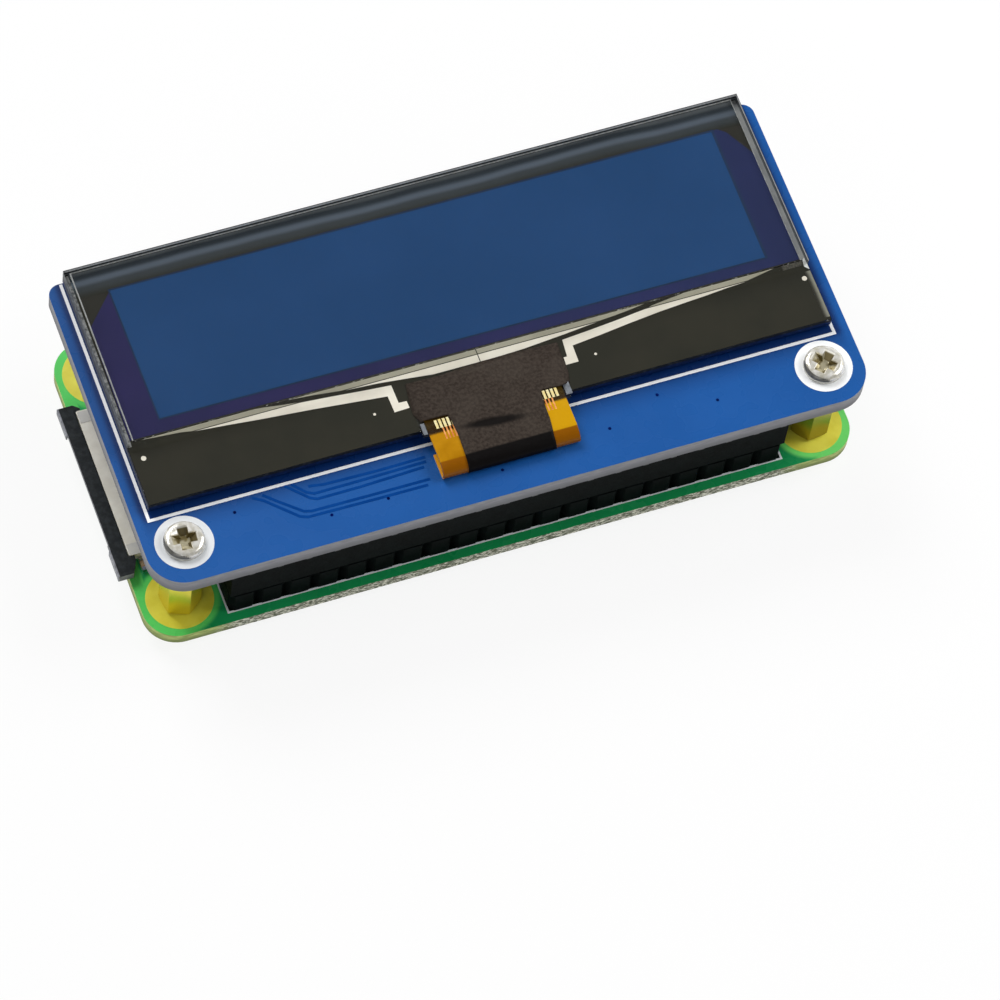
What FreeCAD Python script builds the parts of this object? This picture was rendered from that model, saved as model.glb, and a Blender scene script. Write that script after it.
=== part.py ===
import FreeCAD
import Part
import math
import os

# A display board bolted over a small host board by two hex spacers and a pin header.
# The origin is midway between the host board's two free rear screw holes, on its underside.
# X runs along the long edge, Y from the header edge to the socket edge, Z up. All in mm.

# Host board
HOST_LENGTH = 65.0
HOST_DEPTH = 30.0
HOST_THICK = 1.2
HOST_CORNER_R = 3.0
HOLE_INSET = 3.5
HOLE_R = 1.375

# Display board, as long as the host board
DISPLAY_THICK = 1.6
DISPLAY_FRONT_LIP = 0.25
DISPLAY_REAR_LIP = 0.5
DISPLAY_FRONT_R = 3.2
DISPLAY_REAR_R = 1.1
DISPLAY_HOLE_R = 1.15

# Hex spacers and screws
SPACER_LENGTH = 8.5
SPACER_FLATS = 3.2
SPACER_BEVEL = 0.2
BEVEL_ANGLE = 30.0
THREAD_R = 1.0
THREAD_CLEAR = 0.03
HEAD_R = 1.8
HEAD_HEIGHT = 0.85
HEAD_ROUND = 0.4
ROUND_STEPS = 3
SCREW_BITE = 2.4
RECESS_SPAN = 2.5
RECESS_WIDTH = 0.7
RECESS_DEPTH = 0.6
RECESS_TIP = 0.45

# How the left and the right spacer and cross recess happen to be turned, in degrees
SPACER_TURNS = {"left": 38.5, "right": 67.5}
RECESS_TURNS = {"left": -5.0, "right": 43.0}

# Pin header and the socket strip that plugs on it
PIN_PITCH = 2.54
PIN_ROWS = 2
PIN_SIDE = 0.64
PIN_TAIL = 1.5
PIN_HOLE_SIDE = 0.9
PIN_END_ROOM = 3.5
PIN_TOP_SPACE = 0.6
BASE_HEIGHT = 2.54
NOTCH_DEPTH = 0.6
NOTCH_HALF = 0.46
STRIP_DEPTH = 5.0
STRIP_CLEAR = 0.1
CAVITY_SIDE = 0.8
CAVITY_SPARE = 0.25
FOOT_WIDTH = 0.5
FOOT_THICK = 0.2
FOOT_REACH = 1.2

# Display panel: two sheets of glass, glued down behind the screws
PANEL_SIDE_INSET = 1.5
PANEL_SCREW_SPACE = 1.8
GLASS_THICK = 0.9
ADHESIVE_THICK = 0.25
ADHESIVE_INSET = 1.2
FILM_THICK = 0.2
FILM_LEFT_INSET = 0.45
FILM_RIGHT_INSET = 0.8
FILM_FRONT_INSET = 0.05
FILM_REAR_INSET = 0.5

# Driver chip and flexible tail on the bare ledge of the lower glass
TAIL_WIDTH = 12.4
TAIL_THICK = 0.2
TAIL_LAP = 1.2
TAIL_REACH = 4.55
TAIL_FOOT = 2.0
TAIL_DROOP = 45.0
DROOP_SHARE = 1.28
BOND_THICK = 0.1
BOND_SIDE = 0.5
BOND_LIP = 0.7
CHIP_SPACE = 0.5
CHIP_LENGTH = 10.2
CHIP_WIDTH = 1.3
LEDGE_SPARE = 2.7

# Tape laid over the chip, with a neck that follows the tail round its bend
TAPE_WIDTH = 13.7
TAPE_NECK = 8.1
TAPE_SHIFT = 0.15
TAPE_THICK = 0.08
TAPE_FRONT_SPACE = 0.8
TAPE_BACK_SPACE = 1.05
TAPE_CORNER_R = 0.5
TAPE_TURN = 120.0

# Flat-cable socket at the left edge of the host board, and its sliding latch
CAMERA_INSET = 0.45
CAMERA_FRONT_SPACE = 4.7
CAMERA_REAR_SPACE = 3.6
CAMERA_DEPTH = 4.0
CAMERA_HEIGHT = 1.15
MOUTH_END = 1.7
MOUTH_HEIGHT = 0.35
MOUTH_DEPTH = 2.4
MOUTH_RISE = 0.3
LATCH_BAR = 1.25
LATCH_HEIGHT = 0.8
LATCH_CLEAR = 0.1
LATCH_END_SPACE = 2.9
HOOK_LENGTH = 0.55
HOOK_STRAIGHT = 0.3
BLADE_THICK = 0.22
BLADE_CLEAR = 0.03
BLADE_REACH = 2.0
GRIP_LENGTH = 2.7
GRIP_OUT = 0.15
CONTACT_PITCH = 0.5
CONTACT_WIDTH = 0.2
CONTACT_THICK = 0.15
CONTACT_REACH = 0.8
CONTACT_END_ROOM = 2.0
TAB_LENGTH = 0.95
TAB_WIDTH = 0.9
TAB_THICK = 0.3

# Rear sockets: the insets run from a board end to the socket's middle, power and data from the
# left and video from the right, and the taper narrows a socket towards the board
POWER_INSET = 11.0
DATA_INSET = 23.6
USB_WIDTH = 7.5
USB_HEIGHT = 2.6
USB_DEPTH = 5.0
USB_TAPER = 0.9
USB_FLARE = 0.35
VIDEO_INSET = 12.4
VIDEO_WIDTH = 11.2
VIDEO_HEIGHT = 3.2
VIDEO_DEPTH = 7.5
VIDEO_TAPER = 1.3
VIDEO_FLARE = 0.05
SOCKET_LIP = 0.9
SLEEVE_SHEET = 0.3
TONGUE_BASE = 1.2
TONGUE_THICK = 0.6
TONGUE_SIDE_SPACE = 0.9
TONGUE_MOUTH_SPACE = 1.0

# Memory card socket at the right edge of the host board
CARD_HEADER_SPACE = 1.06
CARD_WIDTH = 12.0
CARD_DEPTH = 11.4
CARD_HEIGHT = 1.5
CARD_SHEET = 0.2
CARD_FLOOR = 0.35
CARD_STOP = 1.6
CARD_SPRING_LENGTH = 4.0
CARD_SPRING_WIDTH = 0.7
CARD_SPRING_PITCH = 4.2

# Places of three parts that keep to a board end or to their socket
POWER_CHIP_SHIFT = 1.5
LIGHT_INSET = 2.1
REGULATOR_INSET = 12.0
COIL_SHIFT = 6.0

# Rows of small capacitors beside the larger parts
PASSIVE_LENGTH = 1.0
PASSIVE_WIDTH = 0.5
PASSIVE_HEIGHT = 0.45
PASSIVE_PITCH = 1.5
PASSIVE_SPACE = 0.5
SIDE_PART_INSET = 1.6
SIDE_PART_SPACE = 0.2
SIDE_PART_LENGTH = 1.2
SIDE_PART_WIDTH = 0.6

# Places worked out from the sizes above
HOST_RIGHT = HOST_LENGTH / 2
HOLE_X = HOST_RIGHT - HOLE_INSET
HOST_REAR = HOLE_INSET
HOST_FRONT = HOST_REAR - HOST_DEPTH
HOST_MID_Y = (HOST_REAR + HOST_FRONT) / 2
FRONT_HOLE_Y = HOST_FRONT + HOLE_INSET
SIDES = {"left": -HOLE_X, "right": HOLE_X}

DISPLAY_FRONT = HOST_FRONT - DISPLAY_FRONT_LIP
DISPLAY_REAR = HOST_REAR + DISPLAY_REAR_LIP
DISPLAY_BOTTOM = HOST_THICK + SPACER_LENGTH
DISPLAY_TOP = DISPLAY_BOTTOM + DISPLAY_THICK

PIN_COLUMNS = int(2 * (HOLE_X - PIN_END_ROOM) / PIN_PITCH)
STRIP_LENGTH = PIN_COLUMNS * PIN_PITCH
PIN_TOP = DISPLAY_BOTTOM - PIN_TOP_SPACE
SOCKET_BOTTOM = HOST_THICK + BASE_HEIGHT + STRIP_CLEAR

PANEL_HALF = HOST_RIGHT - PANEL_SIDE_INSET
PANEL_REAR = DISPLAY_REAR
PANEL_FRONT = FRONT_HOLE_Y + HEAD_R + PANEL_SCREW_SPACE
PANEL_BOTTOM = DISPLAY_TOP + ADHESIVE_THICK
LEDGE_TOP = PANEL_BOTTOM + GLASS_THICK
CHIP_FRONT = PANEL_FRONT + TAIL_LAP + CHIP_SPACE
LEDGE_BACK = CHIP_FRONT + CHIP_WIDTH + LEDGE_SPARE
PANEL_TOP = LEDGE_TOP + GLASS_THICK
TAIL_TOP = LEDGE_TOP + BOND_THICK + TAIL_THICK

# The tail's middle drops over a wide bend and then turns under through a tight one
TAIL_DROP = TAIL_TOP - TAIL_THICK - DISPLAY_TOP
DROOP_SIN = math.sin(math.radians(TAIL_DROOP))
DROOP_COS = math.cos(math.radians(TAIL_DROOP))
WIDE_R = DROOP_SHARE * TAIL_DROP
TIGHT_R = (TAIL_DROP - WIDE_R * (1 - DROOP_COS)) / (1 + DROOP_COS)
TIGHT_Y = PANEL_FRONT - TAIL_REACH + TAIL_THICK / 2 + TIGHT_R
TIGHT_Z = DISPLAY_TOP + TAIL_THICK / 2 + TIGHT_R
WIDE_Y = TIGHT_Y + (WIDE_R - TIGHT_R) * DROOP_SIN
WIDE_Z = TIGHT_Z - (WIDE_R - TIGHT_R) * DROOP_COS

CAMERA_FRONT = FRONT_HOLE_Y + CAMERA_FRONT_SPACE
CAMERA_REAR = -CAMERA_REAR_SPACE
CAMERA_LENGTH = CAMERA_REAR - CAMERA_FRONT
CAMERA_Y = (CAMERA_REAR + CAMERA_FRONT) / 2
MOUTH_WIDTH = CAMERA_LENGTH - 2 * MOUTH_END
MOUTH_X = CAMERA_INSET - HOST_RIGHT
CAMERA_BACK = MOUTH_X + CAMERA_DEPTH
MOUTH_Z = HOST_THICK + MOUTH_RISE
MOUTH_TOP = MOUTH_Z + MOUTH_HEIGHT
BLADE_Z = MOUTH_TOP + BLADE_CLEAR
BLADE_TOP = BLADE_Z + BLADE_THICK
LATCH_RIGHT = MOUTH_X - LATCH_CLEAR
LATCH_LEFT = LATCH_RIGHT - LATCH_BAR
LATCH_FRONT = FRONT_HOLE_Y + LATCH_END_SPACE
LATCH_REAR = -LATCH_END_SPACE
CONTACT_COUNT = int((CAMERA_LENGTH - 2 * CONTACT_END_ROOM) / CONTACT_PITCH)

POWER_X = POWER_INSET - HOST_RIGHT
DATA_X = DATA_INSET - HOST_RIGHT
VIDEO_X = HOST_RIGHT - VIDEO_INSET
CARD_Y = FRONT_HOLE_Y + PIN_ROWS * PIN_PITCH / 2 + CARD_HEADER_SPACE + CARD_WIDTH / 2
REGULATOR_X = REGULATOR_INSET - HOST_RIGHT

# Parts on the host board: x and y from its middle, then length, width and height
MAIN_CHIP = (7.0, 0.6, 12.0, 12.0, 1.1)
RADIO_CHIP = (-9.5, 0.4, 5.0, 4.0, 0.7)
POWER_CHIP = (POWER_X + POWER_CHIP_SHIFT, 4.2, 3.0, 3.0, 0.8)
CLOCK_CRYSTAL = (-3.4, -4.2, 3.2, 2.5, 0.7)
STATUS_LIGHT = (HOST_RIGHT - LIGHT_INSET, 6.9, 1.6, 0.8, 0.6)

# Parts under the display board, in the same order of values
REGULATOR_CHIP = (REGULATOR_X, 3.0, 3.0, 1.6, 1.1)
COIL = (REGULATOR_X + COIL_SHIFT, 3.0, 4.0, 4.0, 1.8)


def vec(x, y, z):
    return FreeCAD.Vector(x, y, z)


def block(x_low, x_high, y_low, y_high, z_low, z_high):
    """A box between two corners."""
    return Part.makeBox(x_high - x_low, y_high - y_low, z_high - z_low, vec(x_low, y_low, z_low))


def block_on(x, y, z_low, length, width, height):
    """A box by the middle of its base and its size."""
    return block(x - length / 2, x + length / 2, y - width / 2, y + width / 2, z_low, z_low + height)


def rod(x, y, z_low, radius, height):
    """An upright round rod."""
    return Part.makeCylinder(radius, height, vec(x, y, z_low))


def outline(points):
    """A closed wire through a list of points."""
    return Part.makePolygon(points + points[:1])


def prism(points, height):
    """A flat outline, raised along Z."""
    return Part.Face(outline(points)).extrude(vec(0, 0, height))


def turned(profile):
    """A solid turned about Z, from (radius, height) points going up its outside."""
    points = [vec(radius, 0, z) for radius, z in [(0, profile[0][1])] + profile + [(0, profile[-1][1])]]
    return Part.Face(outline(points)).revolve(vec(0, 0, 0), vec(0, 0, 1), 360)


def rounded_plate(half, front, rear, front_r, rear_r, z_low, thick):
    """A plate with one corner radius at the front and another at the rear."""
    corners = [
        (half - front_r, front + front_r, front_r, -90),
        (half - rear_r, rear - rear_r, rear_r, 0),
        (rear_r - half, rear - rear_r, rear_r, 90),
        (front_r - half, front + front_r, front_r, 180),
    ]
    arcs = []
    for x, y, radius, start in corners:
        turns = [math.radians(start + step) for step in (0, 45, 90)]
        arcs.append([vec(x + radius * math.cos(a), y + radius * math.sin(a), z_low) for a in turns])
    edges = []
    for arc, following in zip(arcs, arcs[1:] + arcs[:1]):
        edges.append(Part.Arc(*arc).toShape())
        edges.append(Part.LineSegment(arc[-1], following[0]).toShape())
    return Part.Face(Part.Wire(edges)).extrude(vec(0, 0, thick))


def pin_places():
    """The middle of each header pin."""
    places = []
    for row in range(PIN_ROWS):
        y = FRONT_HOLE_Y + (row - (PIN_ROWS - 1) / 2) * PIN_PITCH
        for column in range(PIN_COLUMNS):
            places.append(((column - (PIN_COLUMNS - 1) / 2) * PIN_PITCH, y))
    return places


def pin_blocks(z_low, z_high, side):
    """A square block from one height to another at each pin."""
    return [block_on(x, y, z_low, side, side, z_high - z_low) for x, y in pin_places()]


def host_board():
    board = rounded_plate(HOST_RIGHT, HOST_FRONT, HOST_REAR, HOST_CORNER_R, HOST_CORNER_R, 0, HOST_THICK)
    holes = [rod(x, y, 0, HOLE_R, HOST_THICK) for x in SIDES.values() for y in (0, FRONT_HOLE_Y)]
    return board.cut(holes + pin_blocks(0, HOST_THICK, PIN_HOLE_SIDE))


def display_board():
    radii = (DISPLAY_FRONT_R, DISPLAY_REAR_R)
    board = rounded_plate(HOST_RIGHT, DISPLAY_FRONT, DISPLAY_REAR, *radii, DISPLAY_BOTTOM, DISPLAY_THICK)
    holes = [rod(x, FRONT_HOLE_Y, DISPLAY_BOTTOM, DISPLAY_HOLE_R, DISPLAY_THICK) for x in SIDES.values()]
    return board.cut(holes)


def hex_spacer(side):
    """A hex bar with bevelled ends and a bore right through."""
    corner_r = SPACER_FLATS / math.sqrt(3)
    turns = [math.radians(SPACER_TURNS[side] + 60 * step) for step in range(6)]
    bar = prism([vec(corner_r * math.cos(a), corner_r * math.sin(a), 0) for a in turns], SPACER_LENGTH)
    end_r = SPACER_FLATS / 2 - SPACER_BEVEL
    rise = (corner_r - end_r) * math.tan(math.radians(BEVEL_ANGLE))
    barrel = turned([(end_r, 0), (corner_r, rise), (corner_r, SPACER_LENGTH - rise), (end_r, SPACER_LENGTH)])
    spacer = bar.common(barrel).cut(rod(0, 0, 0, THREAD_R + THREAD_CLEAR, SPACER_LENGTH))
    spacer.translate(vec(SIDES[side], FRONT_HOLE_Y, HOST_THICK))
    return spacer


def cross_recess(turn):
    """The driver's cross, whose arms shorten as they go down from the head's top."""
    half = RECESS_SPAN / 2
    tip = half * RECESS_TIP
    profile = [
        vec(-half, -RECESS_WIDTH / 2, HEAD_HEIGHT),
        vec(half, -RECESS_WIDTH / 2, HEAD_HEIGHT),
        vec(tip, -RECESS_WIDTH / 2, HEAD_HEIGHT - RECESS_DEPTH),
        vec(-tip, -RECESS_WIDTH / 2, HEAD_HEIGHT - RECESS_DEPTH),
    ]
    arms = []
    for quarter in (0, 90):
        arm = Part.Face(outline(profile)).extrude(vec(0, RECESS_WIDTH, 0))
        arm.rotate(vec(0, 0, 0), vec(0, 0, 1), turn + quarter)
        arms.append(arm)
    return arms


def pan_screw(turn, board_thick):
    """A screw whose rounded head stands on z = 0 and whose shank goes down through a board."""
    profile = [(HEAD_R, 0)]
    for step in range(ROUND_STEPS + 1):
        angle = math.radians(90 * step / ROUND_STEPS)
        inward = HEAD_ROUND * (1 - math.cos(angle))
        down = HEAD_ROUND * (1 - math.sin(angle))
        profile.append((HEAD_R - inward, HEAD_HEIGHT - down))
    head = turned(profile).cut(cross_recess(turn))
    length = board_thick + SCREW_BITE
    return head.fuse(rod(0, 0, -length, THREAD_R, length)).removeSplitter()


def upper_screw(side):
    screw = pan_screw(RECESS_TURNS[side], DISPLAY_THICK)
    screw.translate(vec(SIDES[side], FRONT_HOLE_Y, DISPLAY_TOP))
    return screw


def lower_screw(side):
    screw = pan_screw(RECESS_TURNS[side], HOST_THICK)
    screw.rotate(vec(0, 0, 0), vec(1, 0, 0), 180)
    screw.translate(vec(SIDES[side], FRONT_HOLE_Y, 0))
    return screw


def pin_header_base():
    """The header's strip, notched between its columns along both long sides."""
    half = PIN_ROWS * PIN_PITCH / 2
    rim = []
    for column in range(PIN_COLUMNS):
        left = column * PIN_PITCH - STRIP_LENGTH / 2
        right = left + PIN_PITCH
        rim += [(left, half - NOTCH_DEPTH), (left + NOTCH_HALF, half), (right - NOTCH_HALF, half)]
    rim.append((STRIP_LENGTH / 2, half - NOTCH_DEPTH))
    points = [vec(x, FRONT_HOLE_Y - out, HOST_THICK) for x, out in rim]
    points += [vec(x, FRONT_HOLE_Y + out, HOST_THICK) for x, out in reversed(rim)]
    return prism(points, BASE_HEIGHT).cut(pin_blocks(HOST_THICK, HOST_THICK + BASE_HEIGHT, PIN_SIDE))


def header_pins():
    return Part.makeCompound(pin_blocks(-PIN_TAIL, PIN_TOP, PIN_SIDE))


def socket_header():
    """The socket strip, open below where the pins enter."""
    body = block_on(0, FRONT_HOLE_Y, SOCKET_BOTTOM, STRIP_LENGTH, STRIP_DEPTH, DISPLAY_BOTTOM - SOCKET_BOTTOM)
    return body.cut(pin_blocks(SOCKET_BOTTOM, PIN_TOP + CAVITY_SPARE, CAVITY_SIDE))


def socket_contacts():
    """Feet along both sides of the strip, soldered under the board above."""
    feet = []
    for x, y in pin_places():
        side = 1 if y > FRONT_HOLE_Y else -1
        middle = FRONT_HOLE_Y + side * (STRIP_DEPTH + FOOT_REACH) / 2
        feet.append(block_on(x, middle, DISPLAY_BOTTOM - FOOT_THICK, FOOT_WIDTH, FOOT_REACH, FOOT_THICK))
    return Part.makeCompound(feet)


def panel_adhesive():
    half = PANEL_HALF - ADHESIVE_INSET
    front = PANEL_FRONT + ADHESIVE_INSET
    return block(-half, half, front, PANEL_REAR - ADHESIVE_INSET, DISPLAY_TOP, PANEL_BOTTOM)


def back_glass():
    return block(-PANEL_HALF, PANEL_HALF, PANEL_FRONT, PANEL_REAR, PANEL_BOTTOM, LEDGE_TOP)


def front_glass():
    return block(-PANEL_HALF, PANEL_HALF, LEDGE_BACK, PANEL_REAR, LEDGE_TOP, PANEL_TOP)


def polariser():
    return block(
        FILM_LEFT_INSET - PANEL_HALF,
        PANEL_HALF - FILM_RIGHT_INSET,
        LEDGE_BACK + FILM_FRONT_INSET,
        PANEL_REAR - FILM_REAR_INSET,
        PANEL_TOP,
        PANEL_TOP + FILM_THICK,
    )


def bond_film():
    """The clear film between the tail and the ledge, which shows at both ends."""
    half = TAIL_WIDTH / 2 + BOND_SIDE
    back = PANEL_FRONT + TAIL_LAP
    return block(-half, half, PANEL_FRONT - BOND_LIP, back, LEDGE_TOP, LEDGE_TOP + BOND_THICK)


def driver_chip():
    """The chip on the ledge, level with the tail's top."""
    half = CHIP_LENGTH / 2
    return block(-half, half, CHIP_FRONT, CHIP_FRONT + CHIP_WIDTH, LEDGE_TOP, TAIL_TOP)


def on_bend(x, y, z, radius, turn):
    """A point on a bend round (y, z), turned from straight up towards the front."""
    angle = math.radians(turn)
    return vec(x, y - radius * math.sin(angle), z + radius * math.cos(angle))


def bent_line(x, offset, back_y, last_turn, foot):
    """Points of one face of the tail's path, offset outward from the tail's middle."""
    wide = [on_bend(x, WIDE_Y, WIDE_Z, WIDE_R + offset, TAIL_DROOP * share) for share in (0, 0.5, 1)]
    turns = (TAIL_DROOP, (TAIL_DROOP + last_turn) / 2, last_turn)
    tight = [on_bend(x, TIGHT_Y, TIGHT_Z, TIGHT_R + offset, turn) for turn in turns]
    return vec(x, back_y, wide[0].z), wide, tight, tight[-1] + vec(0, foot, 0)


def bent_sheet(x_low, x_high, inner, outer, back_y, last_turn, foot):
    """A sheet along the tail's path, between two offsets from the tail's middle."""
    edges = []
    ends = []
    for offset in (inner, outer):
        start, wide, tight, end = bent_line(x_low, offset, back_y, last_turn, foot)
        edges.append(Part.LineSegment(start, wide[0]).toShape())
        edges.append(Part.Arc(*wide).toShape())
        edges.append(Part.Arc(*tight).toShape())
        if foot > 0:
            edges.append(Part.LineSegment(tight[-1], end).toShape())
        ends.append((start, end))
    edges.append(Part.LineSegment(ends[0][0], ends[1][0]).toShape())
    edges.append(Part.LineSegment(ends[0][1], ends[1][1]).toShape())
    wire = Part.Wire(Part.__sortEdges__(edges))
    return Part.Face(wire).extrude(vec(x_high - x_low, 0, 0))


def flex_tail():
    """The flexible tail, from the ledge round its bend to its soldered foot on the board."""
    half = TAIL_WIDTH / 2
    return bent_sheet(-half, half, -TAIL_THICK / 2, TAIL_THICK / 2, PANEL_FRONT + TAIL_LAP, 180, TAIL_FOOT)


def cover_tape():
    front = PANEL_FRONT + TAPE_FRONT_SPACE
    back = LEDGE_BACK - TAPE_BACK_SPACE
    patch = rounded_plate(TAPE_WIDTH / 2, front, back, TAPE_CORNER_R, TAPE_CORNER_R, TAIL_TOP, TAPE_THICK)
    half = TAPE_NECK / 2
    neck_start = front + TAPE_CORNER_R
    neck = bent_sheet(-half, half, TAIL_THICK / 2, TAIL_THICK / 2 + TAPE_THICK, neck_start, TAPE_TURN, 0)
    tape = patch.fuse(neck).removeSplitter()
    tape.translate(vec(TAPE_SHIFT, 0, 0))
    return tape


def slab(x_low, x_high, y, width, z_low, z_high):
    """A box between two x values, with its middle at y."""
    return block(x_low, x_high, y - width / 2, y + width / 2, z_low, z_high)


def camera_socket():
    """The flat-cable socket's body, whose mouth takes the cable and the latch's blade above it."""
    top = HOST_THICK + CAMERA_HEIGHT
    mouth_end = MOUTH_X + MOUTH_DEPTH
    body = slab(MOUTH_X, CAMERA_BACK, CAMERA_Y, CAMERA_LENGTH, HOST_THICK, top)
    return body.cut(slab(MOUTH_X, mouth_end, CAMERA_Y, MOUTH_WIDTH, MOUTH_Z, BLADE_TOP + BLADE_CLEAR))


def camera_latch():
    """The sliding bar in front of the socket, with its blade, and a hook and a grip at each end."""
    z_low = MOUTH_Z
    z_high = z_low + LATCH_HEIGHT
    hook_x = LATCH_RIGHT + HOOK_LENGTH
    ends = []
    for near, tip in ((CAMERA_FRONT - LATCH_CLEAR, LATCH_FRONT), (CAMERA_REAR + LATCH_CLEAR, LATCH_REAR)):
        widest = near + HOOK_STRAIGHT * (tip - near)
        rim = [(LATCH_RIGHT, near), (hook_x, near), (hook_x, widest), (LATCH_RIGHT, tip)]
        ends.append(prism([vec(x, y, z_low) for x, y in rim], LATCH_HEIGHT))
    grips = [(LATCH_FRONT, LATCH_FRONT + GRIP_LENGTH), (LATCH_REAR - GRIP_LENGTH, LATCH_REAR)]
    for y_low, y_high in grips:
        ends.append(block(LATCH_LEFT - GRIP_OUT, LATCH_LEFT, y_low, y_high, z_low, z_high))
    blade_width = MOUTH_WIDTH - 2 * LATCH_CLEAR
    ends.append(slab(LATCH_RIGHT, MOUTH_X + BLADE_REACH, CAMERA_Y, blade_width, BLADE_Z, BLADE_TOP))
    bar = block(LATCH_LEFT, LATCH_RIGHT, LATCH_FRONT, LATCH_REAR, z_low, z_high)
    slot = slab(LATCH_LEFT, LATCH_RIGHT, CAMERA_Y, MOUTH_WIDTH, MOUTH_Z, MOUTH_TOP)
    return bar.fuse(ends).cut(slot).removeSplitter()


def camera_contacts():
    """The socket's soldered contacts, in a row behind its body."""
    contacts = []
    for index in range(CONTACT_COUNT):
        y = CAMERA_Y + (index - (CONTACT_COUNT - 1) / 2) * CONTACT_PITCH
        x = CAMERA_BACK + CONTACT_REACH / 2
        contacts.append(block_on(x, y, HOST_THICK, CONTACT_REACH, CONTACT_WIDTH, CONTACT_THICK))
    return Part.makeCompound(contacts)


def camera_tab(side):
    """The metal tab that holds one end of the socket down."""
    y = CAMERA_Y + side * (CAMERA_LENGTH + TAB_WIDTH) / 2
    return block_on(CAMERA_BACK - TAB_LENGTH / 2, y, HOST_THICK, TAB_LENGTH, TAB_WIDTH, TAB_THICK)


def sleeve_outline(x, width, height, taper, grow, y):
    """A socket's outline at one depth, grown outward, with its lower corners cut at 45 degrees."""
    half = width / 2 + grow
    low = HOST_THICK - grow
    high = HOST_THICK + height + grow
    cut = taper + grow * (2 - math.sqrt(2))
    corners = [
        (half, high),
        (-half, high),
        (-half, low + cut),
        (cut - half, low),
        (half - cut, low),
        (half, low + cut),
    ]
    return outline([vec(x + across, y, z) for across, z in corners])


def sleeve_solid(x, width, height, taper, grow, y_low, flare):
    """The outline drawn out to the board's rear edge and then flared over the lip."""
    edge = sleeve_outline(x, width, height, taper, grow, HOST_REAR)
    mouth = sleeve_outline(x, width, height, taper, grow + flare, HOST_REAR + SOCKET_LIP)
    body = Part.Face(edge).extrude(vec(0, y_low - HOST_REAR, 0))
    return body.fuse(Part.makeLoft([edge, mouth], True, True))


def socket_sleeve(x, width, height, depth, taper, flare):
    """The folded sheet of a socket, open at the rear edge."""
    y_low = HOST_REAR + SOCKET_LIP - depth
    outer = sleeve_solid(x, width, height, taper, 0, y_low, flare)
    inner = sleeve_solid(x, width, height, taper, -SLEEVE_SHEET, y_low + SLEEVE_SHEET, flare)
    return outer.cut(inner).removeSplitter()


def socket_tongue(x, width, height, depth, taper):
    """The insulator that fills the sleeve's back and carries a tongue towards the mouth."""
    y_low = HOST_REAR + SOCKET_LIP - depth + SLEEVE_SHEET
    inside = sleeve_outline(x, width, height, taper, -SLEEVE_SHEET, y_low)
    back = Part.Face(inside).extrude(vec(0, TONGUE_BASE, 0))
    half = width / 2 - SLEEVE_SHEET - TONGUE_SIDE_SPACE
    z_low = HOST_THICK + (height - TONGUE_THICK) / 2
    y_high = HOST_REAR + SOCKET_LIP - TONGUE_MOUTH_SPACE
    tongue = block(x - half, x + half, y_low, y_high, z_low, z_low + TONGUE_THICK)
    return back.fuse(tongue).removeSplitter()


def card_cover():
    """The folded sheet over the card, open at the board's right edge and below."""
    left = HOST_RIGHT - CARD_DEPTH
    half = CARD_WIDTH / 2
    top = HOST_THICK + CARD_HEIGHT
    cover = block(left, HOST_RIGHT, CARD_Y - half, CARD_Y + half, HOST_THICK, top)
    inside = half - CARD_SHEET
    roof = top - CARD_SHEET
    hollow = block(left + CARD_SHEET, HOST_RIGHT, CARD_Y - inside, CARD_Y + inside, HOST_THICK, roof)
    springs = []
    for side in (-1, 1):
        y = CARD_Y + side * CARD_SPRING_PITCH / 2
        x = left + CARD_STOP + CARD_SPRING_LENGTH
        springs.append(block_on(x, y, roof, CARD_SPRING_LENGTH, CARD_SPRING_WIDTH, CARD_SHEET))
    return cover.cut([hollow] + springs)


def card_frame():
    """The card socket's floor and the stop at its back."""
    left = HOST_RIGHT - CARD_DEPTH + CARD_SHEET
    half = CARD_WIDTH / 2 - CARD_SHEET
    floor = block(left, HOST_RIGHT, CARD_Y - half, CARD_Y + half, HOST_THICK, HOST_THICK + CARD_FLOOR)
    top = HOST_THICK + CARD_HEIGHT - CARD_SHEET
    stop = block(left, left + CARD_STOP, CARD_Y - half, CARD_Y + half, HOST_THICK, top)
    return floor.fuse(stop).removeSplitter()


def on_host(part):
    x, y, length, width, height = part
    return block_on(x, HOST_MID_Y + y, HOST_THICK, length, width, height)


def under_display(part):
    x, y, length, width, height = part
    return block_on(x, HOST_MID_Y + y, DISPLAY_BOTTOM - height, length, width, height)


def capacitor_row(part, z_low):
    """A row of small capacitors along the rear side of a larger part."""
    x, y, length, width, _ = part
    count = int(length / PASSIVE_PITCH)
    row_y = HOST_MID_Y + y + width / 2 + PASSIVE_SPACE + PASSIVE_LENGTH / 2
    row = []
    for index in range(count):
        place = x + (index - (count - 1) / 2) * PASSIVE_PITCH
        row.append(block_on(place, row_y, z_low, PASSIVE_WIDTH, PASSIVE_LENGTH, PASSIVE_HEIGHT))
    return row


def host_capacitors():
    """The rows beside the chips, and one part between the flat-cable socket and the header."""
    rows = [capacitor_row(part, HOST_THICK) for part in (MAIN_CHIP, RADIO_CHIP, POWER_CHIP)]
    x = SIDE_PART_INSET - HOST_RIGHT
    y = CAMERA_FRONT - SIDE_PART_SPACE - SIDE_PART_LENGTH / 2
    side_part = block_on(x, y, HOST_THICK, SIDE_PART_WIDTH, SIDE_PART_LENGTH, PASSIVE_HEIGHT)
    return Part.makeCompound(sum(rows, [side_part]))


def display_capacitors():
    rows = [capacitor_row(part, DISPLAY_BOTTOM - PASSIVE_HEIGHT) for part in (REGULATOR_CHIP, COIL)]
    return Part.makeCompound(sum(rows, []))


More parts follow.
